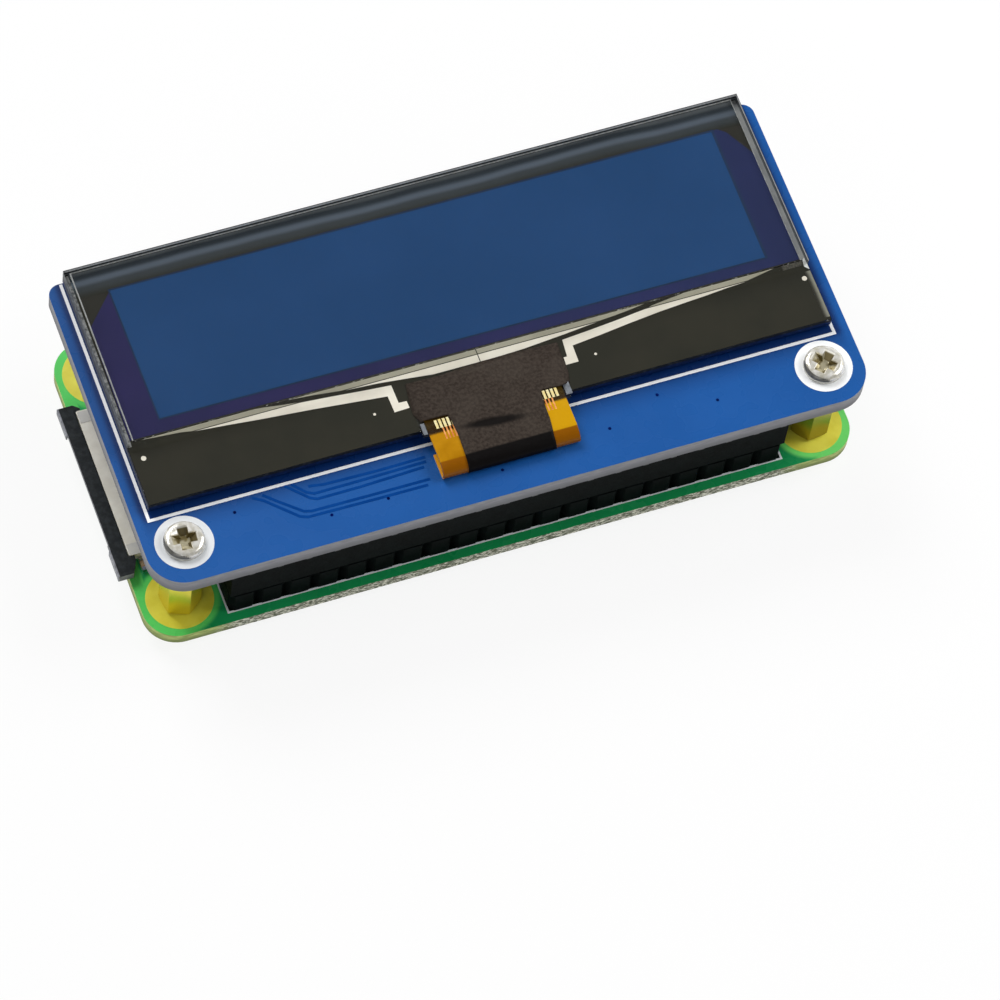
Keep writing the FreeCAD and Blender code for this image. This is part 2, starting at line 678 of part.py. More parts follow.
def all_parts():
    """Each node's name and solid."""
    usb = (USB_WIDTH, USB_HEIGHT, USB_DEPTH, USB_TAPER)
    video = (VIDEO_WIDTH, VIDEO_HEIGHT, VIDEO_DEPTH, VIDEO_TAPER)
    parts = {
        "host_board": host_board(),
        "main_chip": on_host(MAIN_CHIP),
        "radio_chip": on_host(RADIO_CHIP),
        "power_chip": on_host(POWER_CHIP),
        "clock_crystal": on_host(CLOCK_CRYSTAL),
        "status_light": on_host(STATUS_LIGHT),
        "host_capacitors": host_capacitors(),
        "power_socket": socket_sleeve(POWER_X, *usb, USB_FLARE),
        "power_tongue": socket_tongue(POWER_X, *usb),
        "data_socket": socket_sleeve(DATA_X, *usb, USB_FLARE),
        "data_tongue": socket_tongue(DATA_X, *usb),
        "video_socket": socket_sleeve(VIDEO_X, *video, VIDEO_FLARE),
        "video_tongue": socket_tongue(VIDEO_X, *video),
        "card_cover": card_cover(),
        "card_frame": card_frame(),
        "camera_socket": camera_socket(),
        "camera_latch": camera_latch(),
        "camera_contacts": camera_contacts(),
        "camera_tab_front": camera_tab(-1),
        "camera_tab_rear": camera_tab(1),
        "pin_header_base": pin_header_base(),
        "header_pins": header_pins(),
        "socket_header": socket_header(),
        "socket_contacts": socket_contacts(),
        "display_board": display_board(),
        "regulator_chip": under_display(REGULATOR_CHIP),
        "coil": under_display(COIL),
        "display_capacitors": display_capacitors(),
        "panel_adhesive": panel_adhesive(),
        "back_glass": back_glass(),
        "front_glass": front_glass(),
        "polariser": polariser(),
        "bond_film": bond_film(),
        "flex_tail": flex_tail(),
        "driver_chip": driver_chip(),
        "cover_tape": cover_tape(),
    }
    for side in SIDES:
        parts["hex_spacer_" + side] = hex_spacer(side)
        parts["upper_screw_" + side] = upper_screw(side)
        parts["lower_screw_" + side] = lower_screw(side)
    return parts


os.makedirs("parts", exist_ok=True)
for name, shape in all_parts().items():
    shape.exportStep("parts/" + name + ".step")
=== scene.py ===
import math

import bmesh
import bpy
from mathutils import Matrix, Vector, noise


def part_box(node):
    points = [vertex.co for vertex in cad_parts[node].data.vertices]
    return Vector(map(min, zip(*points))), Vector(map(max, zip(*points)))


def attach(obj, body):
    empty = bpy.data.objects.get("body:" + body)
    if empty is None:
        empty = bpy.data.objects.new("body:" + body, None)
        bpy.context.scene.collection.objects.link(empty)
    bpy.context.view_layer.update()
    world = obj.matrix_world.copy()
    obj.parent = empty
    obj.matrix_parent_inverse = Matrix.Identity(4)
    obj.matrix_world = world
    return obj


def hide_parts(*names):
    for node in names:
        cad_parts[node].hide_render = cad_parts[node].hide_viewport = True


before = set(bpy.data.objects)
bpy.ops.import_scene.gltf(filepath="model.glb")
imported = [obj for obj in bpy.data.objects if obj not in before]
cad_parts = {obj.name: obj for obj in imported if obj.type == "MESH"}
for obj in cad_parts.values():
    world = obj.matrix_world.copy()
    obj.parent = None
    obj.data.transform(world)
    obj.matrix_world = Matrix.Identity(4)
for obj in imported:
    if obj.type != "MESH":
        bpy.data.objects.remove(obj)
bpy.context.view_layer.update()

# A display board bolted over a small host board. Sizes below are in millimetres.
MM = 0.001
STACK = "stack"
LATCH = "latch"


def span(node):
    """The lowest and highest corner of a CAD node, in millimetres"""
    low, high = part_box(node)
    return low / MM, high / MM


HOST_LOW, HOST_HIGH = span("host_board")
BOARD_LOW, BOARD_HIGH = span("display_board")
BACK_LOW, BACK_HIGH = span("back_glass")
FRONT_LOW = span("front_glass")[0]
FILM_LOW, FILM_HIGH = span("polariser")
FILM_TOP = span("flex_tail")[1].z
HOLE_X = 29.0
FRONT_HOLE_Y = -23.0
REAR_HOLE_Y = 0.0
PIN_PITCH = 2.54
PIN_COLUMNS = 20
# The panel's layers, tracks and vias were measured from a line midway between the rows of screw holes
PANEL_Y = -11.5
# How wide the faint smears on glass and film are
SMEAR_SIZE = 6.0


# Finishes
def tone(red, green, blue):
    """A colour as a picture shows it, 0 to 255, as a shader wants it"""
    shown = [value / 255 for value in (red, green, blue)]
    plain = [v / 12.92 if v <= 0.04045 else ((v + 0.055) / 1.055) ** 2.4 for v in shown]
    return (*plain, 1.0)


def put(tree, kind, sockets=None, **settings):
    """Add a node, with its settings and what goes into its sockets"""
    made = tree.nodes.new(kind)
    for name, value in settings.items():
        setattr(made, name, value)
    for name, value in (sockets or {}).items():
        if isinstance(value, bpy.types.NodeSocket):
            tree.links.new(value, made.inputs[name])
        else:
            made.inputs[name].default_value = value
    return made


def eased(tree, value, low, high, to_low=0.0, to_high=1.0):
    """Stretch a value from one range to another, smoothly and with ends"""
    made = put(
        tree, "ShaderNodeMapRange",
        {"Value": value, "From Min": low, "From Max": high, "To Min": to_low, "To Max": to_high},
        interpolation_type="SMOOTHSTEP",
    )
    return made.outputs["Result"]


class Finish:
    """A surface finish: one shader with patterns that lie still on the object"""

    def __init__(self, name, rough=0.5, metal=0.0, **fixed):
        self.mat = bpy.data.materials.new(name)
        self.mat.use_nodes = True
        self.tree = self.mat.node_tree
        self.shader = self.tree.nodes["Principled BSDF"]
        self.out = self.tree.nodes["Material Output"]
        self.shader.inputs["Roughness"].default_value = rough
        self.shader.inputs["Metallic"].default_value = metal
        for socket, value in fixed.items():
            self.shader.inputs[socket.replace("_", " ")].default_value = value
        self.place = self.put("ShaderNodeTexCoord")
        axes = self.put("ShaderNodeSeparateXYZ", {"Vector": self.place.outputs["Object"]})
        self.x, self.y, self.z = (axes.outputs[axis] for axis in "XYZ")

    def put(self, kind, sockets=None, **settings):
        return put(self.tree, kind, sockets, **settings)

    def sum(self, what, *values, clamp=False):
        made = self.put("ShaderNodeMath", dict(enumerate(values)), operation=what, use_clamp=clamp)
        return made.outputs[0]

    def times(self, first, second):
        return self.sum("MULTIPLY", first, second)

    def far(self, across, along):
        """The straight distance that two distances at right angles make"""
        squares = self.sum("ADD", self.sum("POWER", across, 2.0), self.sum("POWER", along, 2.0))
        return self.sum("SQRT", squares)

    def noise(self, size, detail=2.0, rough=0.5, stretch=(1, 1, 1), seed=0.0):
        """Cloudy noise whose clouds are about size millimetres across"""
        shift = (seed, seed * 0.7, seed * 0.3)
        where = self.put(
            "ShaderNodeMapping", {"Vector": self.place.outputs["Object"], "Location": shift, "Scale": stretch}
        )
        made = self.put(
            "ShaderNodeTexNoise",
            {"Vector": where.outputs[0], "Scale": 1 / (size * MM), "Detail": detail, "Roughness": rough},
        )
        return made.outputs["Fac"]

    def spread(self, value, low, high, to_low=0.0, to_high=1.0):
        return eased(self.tree, value, low, high, to_low, to_high)

    def band(self, value, low, high):
        """Smoothly from 0 to 1 between two places in millimetres"""
        return self.spread(value, low * MM, high * MM)

    def mix(self, share, first, second):
        """Between two colours, each a picture's red, green and blue or a pattern of its own"""
        first, second = (tone(*shade) if isinstance(shade, tuple) else shade for shade in (first, second))
        made = self.put("ShaderNodeMix", {0: share, 6: first, 7: second}, data_type="RGBA")
        return made.outputs[2]

    def sides(self):
        """1 on faces that stand upright, 0 on level ones"""
        facing = self.put("ShaderNodeSeparateXYZ", {"Vector": self.place.outputs["Normal"]})
        level = self.sum("ABSOLUTE", facing.outputs["Z"])
        return self.spread(level, 0.75, 0.45)

    def colour(self, value):
        self.tree.links.new(value, self.shader.inputs["Base Color"])

    def gloss(self, value):
        self.tree.links.new(value, self.shader.inputs["Roughness"])

    def relief(self, height, depth):
        """Bumps as deep as depth millimetres"""
        made = self.put("ShaderNodeBump", {"Height": height, "Distance": depth * MM, "Strength": 1.0})
        self.tree.links.new(made.outputs["Normal"], self.shader.inputs["Normal"])
        return self

    def blend(self, share, first, second):
        """Two shader nodes in one, with this share of the second"""
        return self.put("ShaderNodeMixShader", {0: share, 1: first.outputs[0], 2: second.outputs[0]})

    def show(self, shader):
        """Show another shader node than the plain one"""
        self.tree.links.new(shader.outputs[0], self.out.inputs["Surface"])
        return self

    def clear_sheet(self, tint, shine, smooth, rough, detail=3.0):
        """A shader that lets light through, and shines more the flatter it is seen"""
        facing = self.put("ShaderNodeLayerWeight", {"Blend": 0.5}).outputs["Facing"]
        glance = self.sum("ADD", self.times(self.sum("POWER", facing, 5.0), 0.9), shine, clamp=True)
        clear = self.put("ShaderNodeBsdfTransparent", {"Color": tint})
        gloss = self.put("ShaderNodeBsdfGlossy", {"Color": (1, 1, 1, 1)})
        smear = self.spread(self.noise(SMEAR_SIZE, detail=detail), 0.3, 0.7, smooth, rough)
        self.tree.links.new(smear, gloss.inputs["Roughness"])
        return self.blend(glance, clear, gloss)


def grained(name, light, dark, size, rough, swing=0.06, metal=0.0, fine=0.2, depth=0.004, **fixed):
    """A plain stuff: two near shades in clouds, a fine grain and an uneven gloss"""
    made = Finish(name, rough, metal, **fixed)
    clouds = made.noise(size, detail=4)
    grain = made.noise(fine, detail=3, seed=0.013)
    made.colour(made.mix(made.spread(clouds, 0.32, 0.68), dark, light))
    made.gloss(made.spread(grain, 0.3, 0.7, rough - swing, rough + swing))
    return made.relief(grain, depth)


def board_finish(name, lacquers, edges, low, high, patch=None, cut=None, painted_shade=None):
    """Circuit board: lacquer over copper above and below, cut laminate at the sides

    A patch, a rough cut and a painted shade are each a function that says where, with its shades.
    """
    made = Finish(name, 0.3, Specular_IOR_Level=0.3)
    clouds = made.noise(9.0, detail=3)
    lacquer = made.mix(made.spread(clouds, 0.3, 0.7), lacquers[1], lacquers[0])
    if patch:
        # Painted light: the patch is brighter towards the right, where more light falls
        shade = made.mix(made.band(made.x, -20, 26), patch[1], patch[2])
        lacquer = made.mix(patch[0](made), lacquer, shade)
    # Painted shade: the lacquer is darkened where shade falls, as beside the panel and under the header
    if painted_shade:
        lacquer = made.mix(painted_shade[0](made), lacquer, painted_shade[1])
    layers = made.noise(1.2, detail=3, stretch=(1, 1, 4))
    laminate = made.mix(made.spread(layers, 0.35, 0.65), edges[1], edges[0])
    height = made.band(made.z, low + 0.1 * (high - low), low + 0.75 * (high - low))
    laminate = made.mix(height, made.mix(0.35, edges[1], (60, 56, 54)), laminate)
    if cut:
        chips = made.noise(0.2, detail=4, rough=0.6, stretch=(0.6, 1, 1.6), seed=0.05)
        laminate = made.mix(cut[0](made), laminate, made.mix(made.spread(chips, 0.44, 0.6), cut[1], cut[2]))
    side = made.sides()
    made.colour(made.mix(side, lacquer, laminate))
    peel = made.noise(1.6, detail=1, seed=0.02)
    made.gloss(made.sum("ADD", made.spread(peel, 0.3, 0.7, 0.26, 0.29), made.times(side, 0.35)))
    return made.relief(peel, 0.0004)


def painted_shade_beside_panel(made):
    """Up to 1 on the lacquer right in front of the panel and at its left, where the panel's shade is painted
    in
    """
    ahead = made.sum("MAXIMUM", made.sum("SUBTRACT", BACK_LOW.y * MM, made.y), 0.0)
    left = made.sum("MAXIMUM", made.sum("SUBTRACT", BACK_LOW.x * MM, made.x), 0.0)
    far = made.far(ahead, left)
    near = made.times(made.band(far, 1.3, 0.6), 0.5)
    wide = made.times(made.band(far, 3.2, 0.8), 0.4)
    inside = made.band(made.sum("ABSOLUTE", made.x), 32.2, 31.4)
    return made.times(made.sum("ADD", near, wide), inside)


def corner_patch(made):
    """1 in the clear laminate round the screw holes, out to the corners and along the short edges"""
    across = made.sum("SUBTRACT", made.sum("ABSOLUTE", made.x), HOLE_X * MM)
    along = made.sum("ABSOLUTE", made.sum("ADD", made.y, -PANEL_Y * MM))
    along = made.sum("SUBTRACT", along, -PANEL_Y * MM)
    corner = made.sum("MINIMUM", made.band(across, -1.4, -0.2), made.band(along, -0.6, 0.4))
    patch = made.sum("MAXIMUM", made.band(made.far(across, along), 3.7, 3.2), made.band(across, 2.3, 2.5))
    return made.sum("MAXIMUM", patch, corner)


def under_header(made):
    """1 on the strip of board below the pin header, which hardly any light reaches"""
    across = made.band(made.sum("ABSOLUTE", made.x), 25.45, 25.35)
    front = made.band(made.y, -25.5, -25.42)
    rear = made.band(made.y, -20.3, -20.6)
    return made.times(made.times(across, front), rear)


def snapped_edge(made):
    """1 along the middle of the front edge, where the board was snapped from its panel"""
    middle = made.band(made.sum("ABSOLUTE", made.x), 27.5, 24.5)
    front = made.band(made.y, -26.2, -26.4)
    return made.times(middle, front)


def pane_finish(name, tint, shine, low, front_open, wall_light, wall_dark, chips=(0.42, 0.66)):
    """Panel glass: clear and shiny on its flats, with ground walls that let less through"""
    made = Finish(name, 0.45, Specular_IOR_Level=0.2)
    flat = made.clear_sheet(tint, shine, 0.02, 0.06, detail=2.0)
    grain = made.spread(made.noise(0.3, detail=5, stretch=(1, 1, 1.5)), *chips)
    ground = made.mix(grain, wall_dark, wall_light)
    if front_open:
        # Painted light on the rear and right walls: a pale highlight line between two dark reflection lines
        painted_glint_lines = (108, 113, 116)
        for height, shade in ((0.3, (30, 32, 34)), (0.5, (236, 238, 238)), (0.78, (28, 30, 30))):
            painted_glint_lines = made.mix(made.band(made.z, low + height - 0.03, low + height + 0.03), painted_glint_lines, shade)
        far = made.sum("MAXIMUM", made.band(made.y, 3.9, 3.97), made.band(made.x, 30.9, 30.97))
        ground = made.mix(far, ground, painted_glint_lines)
    else:
        # Painted shade: the foot of the back glass's walls is dark blue, as the shaded board seen there
        foot = made.mix(grain, (4, 30, 76), (14, 50, 104))
        ground = made.mix(made.band(made.z, low + 0.42, low + 0.62), foot, ground)
    made.colour(ground)
    front = made.band(made.y, FRONT_LOW.y + 0.05, FRONT_LOW.y + 0.01)
    through = made.put("ShaderNodeBsdfTransparent", {"Color": (0.92, 0.92, 0.89, 1)})
    wall = made.blend(made.times(front, front_open), made.shader, through)
    return made.show(made.blend(made.sides(), flat, wall))


def film_finish():
    """The thin film on the front glass: clear and shiny, with pale cut edges and a darker front one"""
    made = Finish("polariser_film", 0.4, Specular_IOR_Level=0.2)
    flat = made.clear_sheet((0.97, 0.97, 0.98, 1), 0.02, 0.05, 0.1)
    specks = made.noise(0.3, detail=4)
    pale = made.mix(made.spread(specks, 0.4, 0.7), (184, 186, 180), (230, 232, 226))
    dark = made.mix(made.spread(specks, 0.58, 0.7), (30, 29, 30), (206, 208, 202))
    made.colour(made.mix(made.band(made.y, -13.5, -13.6), pale, dark))
    return made.show(made.blend(made.sides(), flat, made.shader))


def rear_margin():
    """The dark rear margin of the panel, lighter close to the edge, with a soft bluish band of painted
    reflection
    """
    made = Finish("rear_margin", 0.4, Specular_IOR_Level=0.05)
    wave = made.times(made.sum("SUBTRACT", made.noise(14.0, detail=2), 0.5), 0.9 * MM)
    y = made.sum("ADD", made.y, wave)
    shade = made.mix(made.band(y, 1.4, 2.3), (45, 46, 39), (60, 66, 68))
    # Painted reflection: the soft bluish band
    shade = made.mix(made.band(y, 2.3, 2.75), shade, (88, 98, 108))
    shade = made.mix(made.band(y, 2.85, 3.3), shade, (52, 60, 66))
    made.colour(made.mix(made.band(y, 3.45, 3.9), shade, (104, 110, 112)))
    return made


# The blue lacquer in front of and beside the panel is painted darker, as the panel's shade
BLUE_LACQUER = board_finish(
    "blue_lacquer", ((25, 88, 162), (23, 84, 156)), ((146, 147, 152), (132, 134, 140)),
    BOARD_LOW.z, BOARD_HIGH.z, painted_shade=(painted_shade_beside_panel, (4, 36, 92)),
)
# The corner patch is painted brighter on the right as light, and the strip under the header is painted dark
# as shade
GREEN_LACQUER = board_finish(
    "green_lacquer", ((34, 168, 96), (26, 150, 84)), ((196, 210, 128), (150, 168, 92)),
    HOST_LOW.z, HOST_HIGH.z, patch=(corner_patch, (98, 224, 108), (126, 244, 122)),
    cut=(snapped_edge, (84, 92, 66), (236, 236, 218)), painted_shade=(under_header, (3, 16, 10)),
)
WHITE_INK = grained("white_ink", (253, 254, 255), (247, 249, 252), 0.8, 0.5, 0.02, 0.0, 0.6, 0.0)
YELLOW_PAD = grained("yellow_pad", (248, 240, 84), (236, 226, 66), 1.5, 0.38, depth=0.002)
RING_INK = Finish("ring_ink", 0.5)
# Painted light: the rings are brighter towards the right, where more light falls
ring_painted_light = RING_INK.band(RING_INK.x, -26.5, 26.5)
RING_INK.colour(RING_INK.mix(ring_painted_light, (226, 229, 232), (250, 252, 253)))
BLUE_TRACK = grained("blue_track", (14, 68, 142), (10, 60, 130), 2.0, 0.6, depth=0.0, Specular_IOR_Level=0.0)
DARK_HOLE = grained("dark_hole", (5, 20, 90), (6, 14, 60), 0.3, 0.6, depth=0.0, Specular_IOR_Level=0.0)
FRONT_GLASS = pane_finish(
    "front_pane", (0.98, 0.98, 0.98, 1), 0.008, FRONT_LOW.z, 0.95, (118, 122, 124), (58, 62, 66)
)
BACK_GLASS = pane_finish(
    "back_pane", (0.96, 0.97, 0.97, 1), 0.03, BACK_LOW.z, 0.0, (54, 58, 62), (14, 16, 20), (0.5, 0.72)
)
LEDGE = grained("ledge_black", (47, 46, 38), (42, 42, 35), 6.0, 0.12, 0.03, depth=0.0003)
POLARISER = film_finish()
REAR_MARGIN_AND_REFLECTION = rear_margin()
BRASS = grained("bright_brass", (214, 198, 66), (204, 186, 50), 3.0, 0.26, 0.0, 0.85, 0.6, 0.0)
# Painted shade: the brass is darker towards the right, on the right spacer
brass_painted_shade = BRASS.band(BRASS.x, -20, 20)
BRASS.colour(BRASS.mix(brass_painted_shade, (226, 210, 70), (160, 146, 50)))
NICKEL = grained("plated_steel", (226, 224, 218), (196, 192, 180), 0.7, 0.16, 0.07, 1.0, 0.12, 0.004)
TIN = grained("tinned", (212, 212, 212), (196, 196, 198), 1.6, 0.28, 0.04, 1.0, 0.3, 0.001)
DULL_TIN = grained("dull_tin", (84, 86, 88), (62, 64, 66), 0.5, 0.5, 0.08, 0.2, 0.1, 0.002)
TIN_PLATE = grained("tinned_plate", (216, 214, 206), (202, 200, 192), 1.6, 0.4, 0.04, 0.1, 0.3, 0.001)
GOLD = grained("gold_plate", (255, 246, 196), (248, 224, 142), 0.4, 0.24, 0.06, 0.2, 0.1, 0.003)
BLACK_PLASTIC = grained(
    "black_moulding", (12, 17, 17), (8, 11, 11), 0.9, 0.5, 0.08, 0.0, 0.12, 0.004, Specular_IOR_Level=0.015
)
CREAM_PLASTIC = grained("cream_moulding", (242, 238, 224), (230, 225, 210), 1.2, 0.45)
CHIP_BLACK = grained("chip_epoxy", (44, 44, 45), (34, 34, 36), 0.8, 0.55, 0.06, 0.0, 0.08, 0.006)
COIL_GREY = grained("ferrite", (76, 76, 80), (58, 58, 62), 0.6, 0.6, 0.08, 0.0, 0.1, 0.01)
TAN = grained("ceramic", (190, 160, 124), (166, 136, 102), 0.5, 0.4)
SILICON = grained("silicon_die", (58, 58, 68), (44, 44, 54), 1.0, 0.1, 0.03)
LENS = grained("lamp_lens", (224, 236, 208), (206, 220, 190), 0.3, 0.2)
WHITE_TAPE = grained("foam_tape", (214, 214, 208), (196, 196, 190), 0.6, 0.7, depth=0.02)
CLEAR_FILM = Finish("clear_film")
CLEAR_FILM.show(CLEAR_FILM.clear_sheet((0.78, 0.79, 0.78, 1), 0.04, 0.1, 0.15))
CLEAR_FILM.tree.nodes.remove(CLEAR_FILM.shader)
GREY_FILM = grained("grey_film", (126, 131, 138), (96, 101, 108), 0.6, 0.3, depth=0.002)
COPPER = grained("copper_line", (250, 176, 104), (216, 126, 62), 0.4, 0.28, 0.06, 0.1, 0.1, 0.002)
PANEL_NAVY = grained(
    "panel_navy", (34, 73, 119), (30, 69, 113), 16.0, 0.5, depth=0.0, Specular_IOR_Level=0.05
)
PANEL_VIOLET = Finish("panel_violet", 0.5, Specular_IOR_Level=0.05)
violet_cloud = PANEL_VIOLET.spread(PANEL_VIOLET.noise(10.0), 0.3, 0.7)
violet_place = PANEL_VIOLET.band(PANEL_VIOLET.x, -20, 28)
violet_left = PANEL_VIOLET.mix(violet_cloud, (40, 40, 78), (46, 43, 86))
violet_right = PANEL_VIOLET.mix(violet_cloud, (38, 47, 84), (43, 50, 92))
PANEL_VIOLET.colour(PANEL_VIOLET.mix(violet_place, violet_left, violet_right))
PANEL_RIM = grained("panel_rim", (36, 56, 84), (32, 50, 74), 6.0, 0.5, depth=0.0, Specular_IOR_Level=0.05)
CREAM_INK = grained("cream_track", (234, 229, 214), (220, 214, 198), 3.0, 0.4)
CREAM_UNDER = grained("cream_under_glass", (168, 165, 146), (156, 153, 134), 4.0, 0.5)
SEAL = grained("seal_strip", (150, 152, 150), (62, 66, 68), 0.3, 0.4, 0.08, 0.0, 0.1, 0.004)
PALE_SEAL_AND_GLINT = grained("pale_seal", (158, 160, 158), (132, 135, 136), 2.0, 0.4, 0.08, 0.0, 0.3, 0.002)
GLASS_CHIP = grained("glass_chip", (240, 242, 240), (196, 200, 198), 0.2, 0.3, 0.08, 0.0, 0.1, 0.01)
SIDE_GLEAM = Finish("side_gleam", 0.3, Specular_IOR_Level=0.3)
gleam_wave = SIDE_GLEAM.times(SIDE_GLEAM.sum("SUBTRACT", SIDE_GLEAM.noise(2.5), 0.5), 0.3 * MM)
gleam_place = SIDE_GLEAM.band(SIDE_GLEAM.sum("ADD", SIDE_GLEAM.x, gleam_wave), 30.5, 30.95)
SIDE_GLEAM.colour(SIDE_GLEAM.mix(gleam_place, (45, 44, 37), (128, 128, 116)))
SPECKLE = grained("speckled_edge", (84, 82, 72), (42, 41, 35), 0.18, 0.4, 0.08, 0.0, 0.1, 0.004)


def latch_finish():
    """Black moulding, its walls and grips painted paler as a reflection of the white floor"""
    made = Finish("latch_moulding", 0.5, Specular_IOR_Level=0.15)
    cloud = made.noise(0.5, detail=4)
    top = made.mix(made.spread(cloud, 0.35, 0.7), (28, 32, 34), (44, 48, 50))
    pale = made.mix(made.spread(cloud, 0.35, 0.7), (132, 134, 140), (168, 170, 176))
    # Painted reflection: the walls and the bar's left edge are pale grey
    wall = made.sum("MAXIMUM", made.times(made.sides(), 0.55), made.band(made.x, -33.38, -33.44))
    made.colour(made.mix(wall, top, pale))
    return made.relief(made.noise(0.12, detail=3, seed=0.013), 0.006)


LATCH_PLASTIC = latch_finish()


def tail_finish():
    """Amber film, clear where it is bonded on the ledge, with painted shade where it bends, a painted
    highlight on its lowest edge and painted light towards the right
    """
    made = Finish("amber_film", 0.2, Specular_IOR_Level=0.25)
    clouds = made.noise(2.0, detail=3)
    flat = made.mix(made.spread(clouds, 0.3, 0.7), (166, 112, 0), (190, 134, 4))
    # Painted light: brighter towards the right
    flat = made.mix(made.band(made.x, -2.0, 4.0), flat, (204, 152, 8))
    # Painted shade on the bend
    bend_painted_shade = made.mix(made.band(made.y, -22.78, -22.92), flat, (142, 84, 0))
    # Painted highlight along the lowest edge of the fold
    low = made.band(made.z, 11.74, 11.64)
    made.colour(made.mix(low, bend_painted_shade, (244, 170, 40)))
    made.gloss(made.spread(clouds, 0.3, 0.7, 0.14, 0.26))
    clear = made.put("ShaderNodeBsdfTransparent", {"Color": (0.92, 0.92, 0.88, 1)})
    return made.show(made.blend(made.times(made.band(made.y, -20.3, -20.0), 0.95), made.shader, clear))


# The glossy dip across the tape, painted nearly black as a dark reflection: its middle, how its line leans,
# and half its width and length
DIP_X, DIP_Y, DIP_LEAN = -0.49, -20.51, -0.091
DIP_HALF_WIDTH, DIP_HALF_LENGTH = 0.52, 3.3
# The height of the crease that catches the light on the folded part
CREASE_Z = 11.52


def tape_finish():
    """Woven dark tape: mottled on the flat, glossy round the bend, with painted shade nearly black round the
    bend and a painted dark reflection in the dip
    """
    made = Finish("dark_tape", 0.7, Specular_IOR_Level=0.06)
    weave = made.noise(0.28, detail=4, rough=0.6)
    patches = made.noise(2.6, detail=3, seed=0.03)
    cloth = made.mix(made.spread(weave, 0.34, 0.66), (48, 41, 36), (66, 58, 52))
    cloth = made.mix(made.times(made.spread(patches, 0.4, 0.7), 0.3), cloth, (76, 69, 62))
    stripe = made.sum("SUBTRACT", made.y, made.sum("MULTIPLY_ADD", made.x, DIP_LEAN, DIP_Y * MM))
    stripe = made.sum("DIVIDE", made.sum("ABSOLUTE", stripe), DIP_HALF_WIDTH * MM)
    along = made.sum("ABSOLUTE", made.sum("SUBTRACT", made.x, DIP_X * MM))
    along = made.sum("DIVIDE", along, DIP_HALF_LENGTH * MM)
    dip = made.spread(made.far(stripe, along), 1.15, 0.45)
    # Painted dark reflection in the glossy dip
    cloth = made.mix(made.times(dip, 0.96), cloth, (12, 9, 8))
    # Painted shade: nearly black round the bend
    bend = made.band(made.y, -22.7, -22.9)
    shade = made.mix(bend, cloth, (16, 14, 14))
    crease = made.band(made.sum("ABSOLUTE", made.sum("SUBTRACT", made.z, CREASE_Z * MM)), 0.1, 0.03)
    crease = made.times(crease, made.band(made.y, -23.5, -23.7))
    made.colour(made.mix(crease, shade, (92, 90, 88)))
    shine = made.times(made.sum("MAXIMUM", bend, made.times(dip, 0.7)), 0.3)
    made.gloss(made.sum("SUBTRACT", made.spread(weave, 0.3, 0.7, 0.64, 0.78), shine))
    return made.relief(made.noise(0.2, detail=4, rough=0.6, seed=0.01), 0.012)


AMBER = tail_finish()
TAPE = tape_finish()


# Making
def in_scene(name, data):
    """A new object in the scene, at the origin"""
    made = bpy.data.objects.new(name, data)
    bpy.context.scene.collection.objects.link(made)
    return made


def finish_piece(name, mesh, finish, body=STACK):
    """Put a mesh in the scene as a piece with its finish and body"""
    piece = in_scene(name, mesh)
    mesh.materials.clear()
    mesh.materials.append(finish.mat)
    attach(piece, body)
    return piece


def mesh_of(work, name, outward=True):
    """The mesh of some work, with all its faces turned outward if asked"""
    if outward:
        bmesh.ops.recalc_face_normals(work, faces=work.faces)
    mesh = bpy.data.meshes.new(name)
    work.to_mesh(mesh)
    work.free()
    return mesh


def add_plate(work, outline, low, high):
    """A flat plate from an outline in millimetres"""
    under = [work.verts.new((x * MM, y * MM, low * MM)) for x, y in outline]
    upper = [work.verts.new((x * MM, y * MM, high * MM)) for x, y in outline]
    work.faces.new(under)
    work.faces.new(upper)
    for here in range(len(outline)):
        ahead = (here + 1) % len(outline)
        work.faces.new((under[here], under[ahead], upper[ahead], upper[here]))


def plates(name, outlines, low, high, finish):
    """Flat plates of one outline each, as one piece"""
    work = bmesh.new()
    for outline in outlines:
        add_plate(work, outline, low, high)
    work.normal_update()
    bmesh.ops.triangulate(work, faces=[f for f in work.faces if len(f.verts) > 4])
    return finish_piece(name, mesh_of(work, name), finish)


def oblong(x0, y0, x1, y1):
    return [(x0, y0), (x1, y0), (x1, y1), (x0, y1)]


# Corners round a screw head or a ring
ROUND_STEPS = 64


def round_spot(x, y, radius, steps):
    turn = 2 * math.pi / steps
    return [(x + radius * math.cos(i * turn), y + radius * math.sin(i * turn)) for i in range(steps)]


def ribbon(points, width):
    """The outline of a line of one width through points, with mitred bends"""
    left, right = [], []
    for here, (x, y) in enumerate(points):
        before = Vector(points[max(here - 1, 0)])
        after = Vector(points[min(here + 1, len(points) - 1)])
        into = (Vector((x, y)) - before).normalized() if here else None
        out = (after - Vector((x, y))).normalized() if here < len(points) - 1 else None
        run = ((into or out) + (out or into)).normalized()
        lean = 1 / max(0.4, run.dot(into or out))
        side = Vector((-run.y, run.x)) * (width / 2 * lean)
        left.append((x + side.x, y + side.y))
        right.append((x - side.x, y - side.y))
    return left + right[::-1]


def loop_at(work, x, y, radius, level, steps):
    """A loop of corners round an upright line, in millimetres"""
    return [work.verts.new((a * MM, b * MM, level * MM)) for a, b in round_spot(x, y, radius, steps)]


